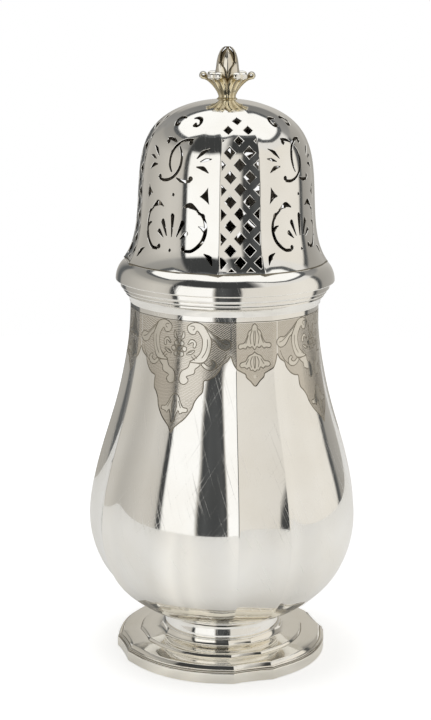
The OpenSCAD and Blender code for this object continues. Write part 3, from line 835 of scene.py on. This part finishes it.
# Cover rim: a bold hollow moulding of drawn wire section, with a fillet and a lip below it.
# It stiffens the cover's edge and is the part that the hand takes hold of.
rim_low, rim_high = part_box("cover_rim")
low, high = rim_low[2] / MM, rim_high[2] / MM
out = rim_high[0] / MM
lip_r, fillet_r, dome_edge, rim_wall = out - 2.6, out - 1.7, 34.0, 1.1
swell_z, swell_d, swell_h = low + 3.7, 5.5, 7.2
swell_end = np.degrees(np.arccos(1 - (out - dome_edge) / swell_d))


def swell(start, end, wall, steps):
    """Points up the moulding's round, which is fullest at its foot; a wall moves them inward."""
    a = np.radians(np.linspace(start, end, steps))
    return [(out - swell_d + (swell_d - wall) * np.cos(t), swell_z + (swell_h - wall) * np.sin(t)) for t in a]


moulding = (
    [(sleeve_r, low)]
    + turn((lip_r - 0.3, low + 0.3), 0.3, -90, 0)
    + turn((lip_r - 0.35, low + 0.95), 0.35, 0, 75)
    + [(lip_r - 0.2, low + 1.36)]
    + turn((fillet_r - 0.2, low + 1.62), 0.22, -90, 0)
    + [(fillet_r + 0.02, low + 2.4)]
    + turn((fillet_r - 0.2, low + 3.2), 0.22, 0, 80)
    + [(fillet_r - 0.1, swell_z - 0.05)]
    + turn((out - 0.34, swell_z + 0.27), 0.32, -90, -8)
    + swell(2, swell_end, 0, 44)
    + [(dome_edge, high), (sleeve_bore, high), (sleeve_bore, high - rim_wall)]
    + swell(62, 8, rim_wall, 16)
    + [(fillet_r - rim_wall, swell_z + rim_wall), (fillet_r - rim_wall, low + 2.4)]
    + [(lip_r - rim_wall, low + rim_wall), (sleeve_r, low + rim_wall)]
)
cover_rim = set_round("cover_rim_moulding", quarter("cover_rim_quarter", moulding, 0, 56), [cover_silver])
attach(cover_rim, "cover")
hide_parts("cover_rim")


# Cover dome: raised sheet with four lattice flats and four wide panels, pierced with a piercing saw.
# The saw cuts are filed to a small bevel outside; inside, the sheet is left as the hammer and saw left it,
# and the inside and the saw-cut walls are darkened with painted shade.
dome_low, dome_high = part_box("cover_dome")
dome_z, apex_z = dome_low[2] / MM, dome_high[2] / MM
dome_h, dome_r, dome_wall, cover_turn, lattice_flat = apex_z - dome_z, 29.0, 1.0, -8.8, 12.9
stud_hole = 1.7
climb_t = 1 - (1 - np.linspace(0, 1, 4000)) ** 2
climb_r = dome_r * np.sqrt(1 - climb_t ** 6) + 5 * np.exp(-dome_h * climb_t / 6.7)
climb_z = dome_z + dome_h * climb_t
kept = climb_r > stud_hole
climb_r, climb_z = climb_r[kept], climb_z[kept]
climb_s = np.concatenate([[0], np.cumsum(np.hypot(np.diff(climb_r), np.diff(climb_z)))])
climb_dr, climb_dz = np.gradient(climb_r, climb_s), np.gradient(climb_z, climb_s)
side_end = climb_s[-1]
across = dome_r * np.pi / 180
lattice_bevel, scroll_bevel, bevel_depth, joint = 0.2, 0.08, 0.11, 0.45
lattice_start, lattice_rise, lattice_side = 4.2, 3.9, 3.15
lattice_half, lattice_half_high, lattice_tall = 1.88, 1.5, 1.1
lattice_foot, lattice_margin, smallest_cut = 0.9, 0.45, 0.3


def lattice_openings(grow):
    """Squares on their corners, halved along the edges of a lattice flat; sideways and up the side in mm."""
    shapes = []
    foot_s = np.interp(dome_z + lattice_foot, climb_z, climb_s) - grow
    for row in range(-1, 13):
        at = lattice_start + lattice_rise * row
        half = (lattice_half_high if row > 9 else lattice_half) + 1.2 * grow
        for column in (-2, 0, 2) if row % 2 == 0 else (-1, 1):
            mid = column * lattice_side
            tall = lattice_tall * half
            shape = np.array([[mid + half, at], [mid, at + tall], [mid - half, at], [mid, at - tall]])
            flat_half = np.interp(at, climb_s, climb_r) * np.sin(np.radians(lattice_flat))
            edge_y = flat_half - lattice_margin + grow
            shape = keep_side(shape, edge_y, 1)
            shape = keep_side(shape, -edge_y, -1) if len(shape) else shape
            if len(shape) and shape[:, 1].min() < foot_s:
                shape = keep_side(shape[:, ::-1], foot_s, -1)[:, ::-1]
            if len(shape) > 2 and np.ptp(shape[:, 0]) > smallest_cut:
                shapes.append(shape)
    return shapes


def corner_leaf(grow):
    """A three-pointed opening with hollow sides, beside the knot of scrolls."""
    mid, points = np.array((11.7, 162.6)), np.array([(12.3, 165.5), (9.7, 162.5), (12.9, 160.0)])
    outline = []
    for p, q in zip(points, np.roll(points, -1, 0)):
        pull = (p + q) / 2 + (mid - (p + q) / 2) * 0.35
        for t in np.linspace(0, 1, 7, endpoint=False):
            outline.append((1 - t) ** 2 * p + 2 * t * (1 - t) * pull + t * t * q)
    outline = np.array(outline)
    return outline + unit(outline - mid) * grow


def wide_openings(grow):
    """Scrolls, slits, dots and the shell of a wide panel; sideways from its middle and height in mm."""
    shapes = [ball((0, 162.6), 0.5, grow), ball((0, 144.8), 0.5, grow)]
    shapes.append(ribbon([(0, 149.2), (0, 152.5), (0, 155.8)], [0.2, 0.5, 0.78], grow))
    half = [
        ribbon([(3.3, 184.4), (4.5, 184.4), (4.9, 185.3), (4.2, 186.3), (2.9, 186.7), (1.6, 186.5)],
               [0.36, 0.42, 0.46, 0.42, 0.34, 0.18], grow),
        ball((3.25, 184.6), 0.62, grow),
        ball((4.5, 179.25), 0.72, grow),
        ball((6.2, 168.0), 0.76, grow),
        ribbon([(11.4, 177.5), (9.5, 176.4), (7.8, 174.5)], [0.12, 0.66, 0.14], grow),
        ribbon([(12.5, 174.4), (10.8, 174.1), (9.1, 173.5)], [0.12, 0.5, 0.12], grow),
        ribbon([(8.0, 171.8), (10.2, 171.4), (12.0, 170.1)], [0.14, 0.64, 0.12], grow),
        corner_leaf(grow),
        ribbon([(3.9, 158.6), (6.4, 159.5), (9.3, 158.0)], [0.12, 0.95, 0.2], grow),
        ribbon([(9.4, 157.0), (10.9, 156.5), (11.5, 154.8)], [0.12, 0.62, 0.14], grow),
        ribbon([(9.7, 152.9), (11.0, 152.4), (11.7, 151.0)], [0.12, 0.55, 0.14], grow),
        ribbon([(9.0, 157.8), (10.7, 156.4), (11.6, 154.7), (12.05, 152.5), (11.8, 149.9), (10.7, 147.4),
                (8.2, 145.2), (5.7, 144.9)], [0.3, 0.4, 0.48, 0.55, 0.58, 0.58, 0.5, 0.4], grow),
        ball((4.9, 145.65), 0.76, grow),
        ribbon([(2.0, 149.3), (3.0, 151.6), (3.95, 153.8)], [0.18, 0.48, 0.78], grow),
        ribbon([(3.5, 148.7), (4.6, 149.7), (5.5, 150.5)], [0.18, 0.48, 0.72], grow),
        ribbon([(12.5, 144.4), (14.5, 143.2), (15.9, 141.0)], [0.12, 0.74, 0.12], grow),
    ]
    for flip in (1, -1):
        shapes += [shape * (flip, 1) for shape in half]
    line = [0.24, 0.45, 0.48, 0.45, 0.4]
    right_ring, left_ring, ring_r = (4.3, 173.6), (-4.3, 173.6), 6.6
    shapes.append(ribbon(arc_points(right_ring, ring_r, 86, 214), line[::-1], grow))
    shapes.append(ribbon(arc_points(right_ring, ring_r, 240, 284), line, grow))
    shapes.append(ribbon(arc_points(left_ring, ring_r, 94, 60), line[::-1], grow))
    shapes.append(ribbon(arc_points(left_ring, ring_r, 39, -104), line, grow))
    return shapes


def dome_sheet(lattice_grow, scroll_grow):
    """All openings of a quarter on the flattened sheet: degrees round, scaled to mm, and mm up the side."""
    laid = []
    for shape in lattice_openings(lattice_grow):
        r = np.interp(shape[:, 1], climb_s, climb_r) * np.cos(np.radians(lattice_flat))
        laid.append(np.stack([np.degrees(np.arctan2(shape[:, 0], r)) * across, shape[:, 1]], 1))
    for shape in wide_openings(scroll_grow):
        r = np.interp(shape[:, 1], climb_z, climb_r)
        side = np.interp(shape[:, 1], climb_z, climb_s)
        laid.append(np.stack([(45 + np.degrees(shape[:, 0] / r)) * across, side], 1))
    return laid


holes, grown = dome_sheet(0.0, 0.0), dome_sheet(lattice_bevel, scroll_bevel)
dome_angles = np.concatenate([
    np.linspace(-lattice_flat + 0.7, lattice_flat - 0.7, 10),
    np.linspace(lattice_flat + 0.7, 90 - lattice_flat - 0.7, 28),
])
dome_rows = np.linspace(0, side_end, 72)
ridge_angles = (-lattice_flat, lattice_flat, 90 - lattice_flat)
ends = np.concatenate([dome_angles, ridge_angles])
dome_lines = upright_lines(ridge_angles, dome_rows, across)
dome_lines += level_lines(np.sort(ends), (0, joint, side_end), across)
field = np.array([(a * across, s) for a in dome_angles for s in dome_rows[1:-1]])
field = clear_of(field, holes + grown, 0.32)
flat_verts, flat_tris, held_by = drawn_on(field, dome_lines, holes + grown)
is_hole = np.array([any(k < len(holes) for k in held) for held in held_by])
is_bevel = np.array([any(k >= len(holes) for k in held) for held in held_by]) & ~is_hole


def dome_stand(angle, side, panel):
    """How far the dome's plan stands out: it sweeps up to the ridges, and the lattice flats are hollow."""
    crest = 0.02 * (1 - ease(side, 42, 68))
    gap = np.where(panel, lattice_flat - np.abs(angle), 45 - lattice_flat - np.abs(angle - 45))
    left = erfc(gap / np.where(panel, 7.0, 5.0))
    hollow = 1.3 * crest * (1 - left)
    chord = (1 + crest) * np.cos(np.radians(lattice_flat)) / np.cos(np.radians(angle)) - hollow
    return np.where(panel, chord, 1 + crest * left)


def dome_point(flat_pos, depth, panel):
    """Place and normal of points of the flattened sheet, some depth under the dome's outside."""
    angle, side = flat_pos[:, 0] / across, np.clip(flat_pos[:, 1], 0, side_end)
    r, z = np.interp(side, climb_s, climb_r), np.interp(side, climb_s, climb_z)
    dr, dz = np.interp(side, climb_s, climb_dr), np.interp(side, climb_s, climb_dz)
    stand = dome_stand(angle, side, panel)
    lean = dome_stand(angle + SMALL_TURN, side, panel) - dome_stand(angle - SMALL_TURN, side, panel)
    lean = lean / np.radians(2 * SMALL_TURN)
    normal = unit(np.stack([stand * dz, -lean * dz, -stand ** 2 * dr], 1))
    a = np.radians(angle)
    out, along = np.stack([np.cos(a), np.sin(a)], 1), np.stack([-np.sin(a), np.cos(a)], 1)
    place = np.zeros((len(a), 3))
    place[:, :2] = out * (r * stand - depth * normal[:, 0])[:, None] - along * (depth * normal[:, 1])[:, None]
    place[:, 2] = z - depth * normal[:, 2]
    return place, normal


angle_of = flat_verts[:, 0] / across
on_lattice = angle_of <= lattice_flat + 1e-6
on_ridge = np.zeros(len(flat_verts), bool)
for a in ridge_angles:
    on_ridge |= np.abs(angle_of - a) < 1e-4
hole_verts, kept_verts = set(), set()
for tri, hole in zip(flat_tris, is_hole):
    (hole_verts if hole else kept_verts).update(tri)
cut_edge = np.zeros(len(flat_verts), bool)
cut_edge[list(hole_verts & kept_verts)] = True
wrapped = np.where(angle_of > 90 - lattice_flat - 1e-4, -lattice_flat, angle_of)
ridge_pos = np.stack([wrapped * across, flat_verts[:, 1]], 1)
normal_flat = dome_point(ridge_pos, 0, np.ones(len(flat_verts), bool))[1]
normal_wide = dome_point(flat_verts, 0, np.zeros(len(flat_verts), bool))[1]
sheet_normal = np.where(on_lattice[:, None], normal_flat, normal_wide)
sheet_normal[on_ridge] = unit(normal_flat + normal_wide)[on_ridge]
outside = dome_point(flat_verts, np.where(cut_edge, bevel_depth, 0.0), on_lattice)[0]
inside = dome_point(flat_verts, dome_wall, on_lattice)[0]

TARNISHED = 2
dome = Shell()
dome.verts = list(outside) + list(inside)
under = len(outside)
none = np.zeros(3)
edge_use = {}
for tri, hole, cut in zip(flat_tris, is_hole, is_bevel):
    if hole:
        continue
    a, b, c = tri
    in_joint = flat_verts[list(tri), 1].max() < joint + 1e-3
    normals = [none] * 3 if cut else [sheet_normal[k] for k in tri]
    dome.face(tri, normals, TARNISHED if in_joint else POLISHED, bool(cut))
    dome.face([under + c, under + b, under + a], [-sheet_normal[k] for k in (c, b, a)], INSIDE, False)
    for p, q in ((a, b), (b, c), (c, a)):
        edge_use[(p, q)] = True
for p, q in edge_use:
    if (q, p) in edge_use:
        continue
    on_side = abs(angle_of[p] - angle_of[q]) < 1e-5 and on_ridge[p] and on_ridge[q]
    if on_side and (abs(angle_of[p] + lattice_flat) < 1e-3 or abs(angle_of[p] - 90 + lattice_flat) < 1e-3):
        continue
    # The saw-cut walls take the inside's colour, darkened as painted shade.
    dome.face([q, p, under + p, under + q], [none] * 4, INSIDE, True)
dome_finishes = [cover_silver, unpolished_silver_painted_shade, tarnished]
cover_dome = set_round("cover_pierced_dome", dome.mesh("dome_quarter"), dome_finishes, 4, cover_turn)
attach(cover_dome, "cover")
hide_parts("cover_dome")


# Finial calyx: cast in one with its short stem, chased, and left with a warm tarnish in its hollows.
# Six broad leaves rise from a narrow waist and roll over at their tips; the stud screws into it from below.
finial_turn = -17.6
leaf_count = 6


def set_hollow(mesh, values):
    """Stores at each point how deep it lies in a hollow, where polish doesn't reach."""
    deep = mesh.attributes.new("hollow", "FLOAT", "POINT")
    deep.data.foreach_set("value", np.broadcast_to(values, len(mesh.vertices)).astype(np.float32))


def thick_leaf(name, top, thickness, hollow, behind=1.0):
    """A closed leaf from a grid of points on its outer side, given a thickness behind it."""
    rows, cols = top.shape[:2]
    du, dv = np.gradient(top, axis=0), np.gradient(top, axis=1)
    normal = unit(np.cross(dv, du))
    back = top - normal * np.asarray(thickness)[..., None]
    verts = np.vstack([top.reshape(-1, 3), back.reshape(-1, 3)])
    n = rows * cols
    faces = []
    for i in range(rows - 1):
        for j in range(cols - 1):
            q = [i * cols + j, i * cols + j + 1, (i + 1) * cols + j + 1, (i + 1) * cols + j]
            faces.append(q)
            faces.append([k + n for k in reversed(q)])
    ring = list(range(cols))
    ring += [i * cols + cols - 1 for i in range(1, rows)]
    ring += [(rows - 1) * cols + j for j in range(cols - 2, -1, -1)]
    ring += [i * cols for i in range(rows - 2, 0, -1)]
    for p, q in zip(ring, ring[1:] + ring[:1]):
        faces.append([q, p, p + n, q + n])
    mesh = sheet_mesh(name, verts, faces, np.zeros((sum(len(f) for f in faces), 3)))
    set_hollow(mesh, np.concatenate([hollow.ravel(), (behind * np.ones_like(hollow)).ravel()]))
    return mesh


def cast_silver(name, clean, warm, deep_tone):
    """Cast and chased silver: clean on its high places, then warm, and dull where polish doesn't reach."""
    material = bpy.data.materials.new(name)
    material.use_nodes = True
    tree = material.node_tree
    grain_depth = 0.00008
    where = new_node(tree, "ShaderNodeTexCoord").outputs["Object"]
    deep = new_node(tree, "ShaderNodeAttribute", attribute_name="hollow").outputs["Fac"]
    grain = new_node(tree, "ShaderNodeTexNoise", {"Vector": where, "Scale": 700, "Detail": 4}).outputs["Fac"]
    deep = maths(tree, "MULTIPLY_ADD", grain, 0.2, deep)
    bump = new_node(tree, "ShaderNodeBump", {"Height": grain, "Strength": 0.12, "Distance": grain_depth})
    surface = {"Metallic": 1, "Normal": bump.outputs[0]}
    surface["Base Color"] = shades(tree, deep, [(0.12, clean), (0.4, warm), (1.0, deep_tone)])
    surface["Roughness"] = span(tree, deep, 0.2, 1.2, 0.06, 0.36)
    plug(tree.nodes["Principled BSDF"], surface)
    return material


calyx_silver = cast_silver("calyx_silver", (0.91, 0.89, 0.84), (0.84, 0.75, 0.53), (0.25, 0.18, 0.08))

trunk = [(3.5, -0.14), (3.38, 0.1), (3.0, 0.42), (2.95, 0.9), (3.3, 1.8), (4.0, 2.9), (5.0, 4.1), (6.1, 5.15),
         (6.9, 5.75), (7.5, 6.05)]
tip_roll = [(8.0 + 1.4 * np.cos(t), 7.6 + 1.4 * np.sin(t)) for t in np.radians(np.linspace(-85, 215, 12))]
spine = smooth_path(trunk + tip_roll, 0.18) + (0, apex_z)
along = np.linspace(0, 1, len(spine))
leaf_half = np.interp(spine[:, 0], [2.9, 4.0, 5.0, 6.2, 9.4], [1.95, 2.45, 2.75, 2.8, 2.7])
leaf_half *= np.interp(along, [0.6, 0.8, 1], [1, 1, 0.75])
v = np.sin(np.linspace(-np.pi / 2, np.pi / 2, 29))
valley = np.interp(along, [0, 0.1, 0.38, 0.48, 0.6, 1], [0.4, 0.75, 1.15, 1.0, 0.45, 0.35])
rib = np.interp(along, [0, 0.13, 0.35, 0.53, 0.7, 1], [0, 0.12, 0.4, 0.4, 0.25, 0.1])
leaf_body = np.interp(along, [0, 0.13, 0.35, 0.48, 0.6, 1], [1.6, 1.6, 1.5, 1.2, 0.95, 0.7])[:, None]
round_edge = np.sqrt(np.clip(1 - np.abs(v) ** 5, 0.02, 1))
drop = valley[:, None] * np.abs(v) ** 2.4 + rib[:, None] * np.exp(-((v / 0.3) ** 2))
drop = drop + leaf_body * (1 - round_edge) / 2
run = unit(np.gradient(spine, axis=0))
leaf_x, leaf_z = spine[:, :1] - drop * run[:, 1:], spine[:, 1:] + drop * run[:, :1]
leaf_top = np.stack([leaf_x, leaf_half[:, None] * v, leaf_z], -1)
leaf_hollow = 0.85 * np.abs(v) ** 6 + 0.4 * np.exp(-((v / 0.22) ** 2))
leaf_hollow = leaf_hollow * np.interp(along, [0, 0.5, 0.62], [1, 1, 0.35])[:, None]
leaf_hollow = np.clip(leaf_hollow + np.interp(along, [0, 0.48, 0.62], [0.28, 0.28, 0])[:, None], 0, 1)
behind = np.interp(along, [0, 0.5, 0.62], [1, 1, 0.15])[:, None]
leaf_mesh = thick_leaf("calyx_leaf", leaf_top, leaf_body * round_edge, leaf_hollow, behind)
leaves = set_round("calyx_leaves", leaf_mesh, [calyx_silver], leaf_count, finial_turn)

cup_loop = [(1.5, -0.05), (3.0, -0.1), (2.45, 0.9), (2.85, 2.0), (3.9, 3.4), (4.9, 4.98), (1.5, 4.98)]
cup_loop = [(r, apex_z + z) for r, z in cup_loop]
cup_part = quarter("calyx_cup_quarter", cup_loop, 0, 20)
set_hollow(cup_part, 0.8)
cup = set_round("calyx_cup", cup_part, [calyx_silver])


def joined(name, pieces):
    """Joins the meshes of cast pieces into one object."""
    for other in bpy.context.view_layer.objects:
        other.select_set(False)
    for piece in pieces:
        piece.select_set(True)
    bpy.context.view_layer.objects.active = pieces[0]
    bpy.ops.object.join()
    pieces[0].name = name
    pieces[0].data.name = name
    return pieces[0]


calyx = joined("finial_leaf_calyx", [leaves, cup])
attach(calyx, "cover")
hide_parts("finial_calyx")


# Finial bud: cast solid with two rings of four overlapping petals, chased along their edges.
# It sits in the cup of leaves and is held by the same stud.
bud_low, bud_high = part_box("finial_bud")
bud_z, bud_top = bud_low[2] / MM, bud_high[2] / MM
bud_r, bud_h = 4.1, bud_top - bud_z


def bud_outline(t, step):
    """Radius of the bud at a share of its height, drawn in by a step for each ring of petals."""
    return (bud_r - step) * np.sqrt(np.clip(1 - t ** 3.2, 0, 1))


def petal(name, start, tip, spread_deg, step):
    """One pointed petal that lies on the bud, ridged along its middle and lifted at its edges."""
    u, w = np.linspace(0, 1, 26), np.linspace(-1, 1, 17)
    t = start + (tip - start) * u
    half = spread_deg * np.clip(1 - ((u - 0.25) / 0.75).clip(0) ** 1.9, 0.012, 1)
    angle = np.radians(half[:, None] * w)
    r = bud_outline(t, step)[:, None] + 0.22 * np.exp(-((w / 0.2) ** 2)) - 0.25 * np.abs(w) ** 3
    r = np.maximum(r, 0.15)
    z = np.repeat((bud_z + bud_h * t)[:, None], len(w), 1)
    top = np.stack([r * np.cos(angle), r * np.sin(angle), z], -1)
    hollow = np.clip(0.75 * np.abs(w) ** 4 + np.interp(u, [0, 0.35], [0.75, 0.1])[:, None], 0, 1)
    return thick_leaf(name, top, np.full(r.shape, 0.55), hollow)


core_z = bud_z + 0.02
core_rise = np.sin(np.linspace(0, np.pi / 2, 16))
core_loop = [(0, core_z)] + [(bud_outline(t, 0.95), core_z + (bud_h - 0.8) * t) for t in core_rise]
core_part = quarter("bud_core_quarter", core_loop, 0, 16)
set_hollow(core_part, 0.9)
bud_silver = cast_silver("bud_silver", (0.85, 0.81, 0.73), (0.66, 0.58, 0.43), (0.18, 0.14, 0.08))
core = set_round("bud_core", core_part, [bud_silver])
upper_petal = petal("upper_petal", 0.05, 0.985, 52, 0.42)
upper = set_round("bud_upper_petals", upper_petal, [bud_silver], 4, finial_turn)
lower_petal = petal("lower_petal", 0.0, 0.58, 50, -0.15)
lower = set_round("bud_lower_petals", lower_petal, [bud_silver], 4, finial_turn + 45)
bud = joined("finial_petal_bud", [core, upper, lower])
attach(bud, "cover")
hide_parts("finial_bud")


# Finial stud and nut: the threaded pin that holds the finial and the square nut inside the dome.
# Both keep their plain shapes and are left dull, as they are never polished, and their colour is darkened
# further with painted shade.
for node in ("finial_stud", "finial_nut"):
    plain = frame["nodes"][node]
    plain.data.materials.clear()
    plain.data.materials.append(unpolished_silver_painted_shade)


# Table: a broad sheet of white paper under the caster, and the studio round it. In the silver's reflections
# the paper glows with painted bands of light.
# Large white panels hang above and at the left, with dark gaps between them that the silver mirrors.
# A soft lamp overhead lays the shadow under the foot and isn't mirrored itself.
table_r, table_z, table_sides = 0.55, -0.00005, 96
table_turns = np.linspace(0, 2 * np.pi, table_sides + 1)[:-1]
table_edge = [(table_r * np.cos(a), table_r * np.sin(a), table_z) for a in table_turns]
table_mesh = bpy.data.meshes.new("table_paper")
table_mesh.from_pydata(table_edge, [], [list(range(table_sides))])
table = bpy.data.objects.new("table_paper", table_mesh)
bpy.context.scene.collection.objects.link(table)
view_turn = -17.6
warm_paper, warm, warm_high, cool = (1, 0.975, 0.91), (1, 0.965, 0.9), (1, 0.985, 0.96), (0.96, 1, 1.02)


def bands(tree, around, stops, tint, dim_tint):
    """A ramp of light levels by degrees round the caster from its front.
    Dim levels have a tint of their own, and the lamps' panels are nearly white."""
    dim, lamp, lamp_tint = 0.15, 1, (1, 1, 0.99)
    colours = []
    for degrees, level in stops:
        shade = dim_tint if level < dim else lamp_tint if level > lamp else tint
        colours.append(((degrees + 180) / 360, [level * part for part in shade]))
    return shades(tree, around, colours)


paper = bpy.data.materials.new("white_paper_with_painted_glow")
paper.use_nodes = True
tree = paper.node_tree
tree.nodes.clear()
ray = new_node(tree, "ShaderNodeLightPath").outputs
where = new_node(tree, "ShaderNodeTexCoord").outputs["Object"]
faced = {"Vector": where, "Rotation": (0, 0, np.radians(90 - view_turn))}
faced = new_node(tree, "ShaderNodeMapping", faced).outputs[0]
around = new_node(tree, "ShaderNodeTexGradient", {"Vector": faced}, gradient_type="RADIAL").outputs["Fac"]
# Painted light: the paper glows in bands, brighter and dimmer round the caster, and only the silver's
# reflections show it.
levels = [
    (-180, 0.12), (-120, 0.08), (-90, 0.14), (-75, 0.13), (-56, 0.12), (-46, 0.2), (-36, 0.3), (-28, 0.2),
    (-18, 0.27), (-8, 0.18), (2, 0.14), (14, 0.2), (26, 0.14), (44, 0.2), (60, 0.15), (80, 0.21), (110, 0.19),
    (180, 0.12),
]
lit = bands(tree, around, levels, warm_paper, warm_paper)
glow = new_node(tree, "ShaderNodeEmission", {"Color": lit, "Strength": ray["Is Glossy Ray"]}).outputs[0]
shown = maths(tree, "MULTIPLY", ray["Is Camera Ray"], 0.52)
white = new_node(tree, "ShaderNodeEmission", {"Strength": shown}).outputs[0]
matt = new_node(tree, "ShaderNodeBsdfDiffuse", {"Color": (0.8, 0.8, 0.8, 1)}).outputs[0]
both = new_node(tree, "ShaderNodeAddShader", {0: matt, 1: glow}).outputs[0]
all_light = new_node(tree, "ShaderNodeAddShader", {0: both, 1: white}).outputs[0]
new_node(tree, "ShaderNodeOutputMaterial", {"Surface": all_light})
table_mesh.materials.append(paper)

world = bpy.data.worlds.new("studio")
bpy.context.scene.world = world
world.use_nodes = True
tree = world.node_tree
tree.nodes.clear()
to_degrees = 180 / np.pi
where = new_node(tree, "ShaderNodeTexCoord").outputs["Generated"]
toward = new_node(tree, "ShaderNodeSeparateXYZ", {0: where}).outputs
around = maths(tree, "ARCTAN2", toward["X"], maths(tree, "MULTIPLY", toward["Y"], -1.0))
around = maths(tree, "MULTIPLY_ADD", around, to_degrees, 180.0 - view_turn)
around = maths(tree, "DIVIDE", maths(tree, "MODULO", around, 360.0), 360.0)
height = maths(tree, "MULTIPLY", maths(tree, "ARCSINE", toward["Z"]), to_degrees)
wall_levels = [
    (-180, 0.55), (-165, 0.4), (-150, 0.12), (-143, 0.12), (-138, 0.38), (-120, 0.44), (-100, 0.53),
    (-80, 0.62), (-66, 0.6), (-60, 0.54), (-58, 0.06), (-53, 0.06), (-51.5, 1.05), (-14, 1.05),
    (-11.5, 0.5), (-9.5, 0.06), (-3, 0.085), (9, 0.05), (16, 0.06), (18, 0.74), (60, 0.8), (90, 0.84),
    (110, 0.82), (114, 0.08), (118, 0.1), (122, 0.34), (150, 0.42), (172, 0.55),
]
upper_levels = [
    (-180, 0.2), (-140, 0.3), (-70, 0.45), (-62, 0.35), (-56, 0.05), (30, 0.05), (37, 0.3), (45, 0.8),
    (112, 0.8), (120, 0.3), (160, 0.22), (175, 0.2),
]
panel_edge = [
    (-180, 0.5), (-120, 0.46), (-76, 0.47), (-55, 0.62), (36, 0.62), (62, 0.47), (80, 0.42), (120, 0.44),
    (150, 0.5),
]
left_side = [(-180, 0), (-150, 0), (-130, 1), (-62, 1), (-59, 0), (180, 0)]
walls = bands(tree, around, wall_levels, warm, cool)
upper_walls = bands(tree, around, upper_levels, warm_high, cool)
edge_height = maths(tree, "MULTIPLY", bands(tree, around, panel_edge, warm, cool), 100.0)
over_edge = maths(tree, "SUBTRACT", height, edge_height)
at_left = maths(tree, "MULTIPLY", bands(tree, around, left_side, warm, cool), span(tree, height, 16, 46))
room = blend(tree, span(tree, height, 25, 29), walls, upper_walls)
room = blend(tree, at_left, room, (0.27, 0.262, 0.24, 1))
room = blend(tree, span(tree, over_edge, -6, -4.5), room, (0.1, 0.105, 0.11, 1))
room = blend(tree, span(tree, over_edge, -1, 1), room, (1.05, 1.05, 1.04, 1))
seen = new_node(tree, "ShaderNodeLightPath").outputs["Is Camera Ray"]
studio = blend(tree, seen, room, (1, 1, 1, 1))
light = new_node(tree, "ShaderNodeBackground", {"Color": studio}).outputs[0]
new_node(tree, "ShaderNodeOutputWorld", {"Surface": light})
overhead_data = bpy.data.lights.new("overhead_lamp", "AREA")
overhead_data.shape = "DISK"
overhead_data.size = 0.4
overhead_data.energy = 1.0
overhead = bpy.data.objects.new("overhead_lamp", overhead_data)
overhead.location = (-0.09, 0.03, 0.75)
overhead.rotation_euler = (-0.04, -0.12, 0)
overhead.visible_glossy = False
bpy.context.scene.collection.objects.link(overhead)
bpy.context.scene.view_settings.view_transform = "Standard"


# Camera: a long lens a little above the caster, looking down on it, fitted to the outlines in the photograph.
camera_data = bpy.data.cameras.new("camera")
camera_data.sensor_fit = "AUTO"
camera_data.sensor_width = 36
camera_data.lens = 80
camera_data.clip_start = 0.05
camera = bpy.data.objects.new("camera", camera_data)
bpy.context.scene.collection.objects.link(camera)
away, eye_z, tilt, roll, left = 0.5362, 0.2226, 12.56, 0.56, 0.003
a = np.radians(view_turn)
spot = (away * np.sin(a) - left * np.cos(a), -away * np.cos(a) - left * np.sin(a), eye_z)
aim = Matrix.Rotation(a, 4, "Z") @ Matrix.Rotation(np.radians(90 - tilt), 4, "X")
aim = aim @ Matrix.Rotation(np.radians(roll), 4, "Z")
camera.matrix_world = Matrix.Translation(spot) @ aim
bpy.context.scene.camera = camera
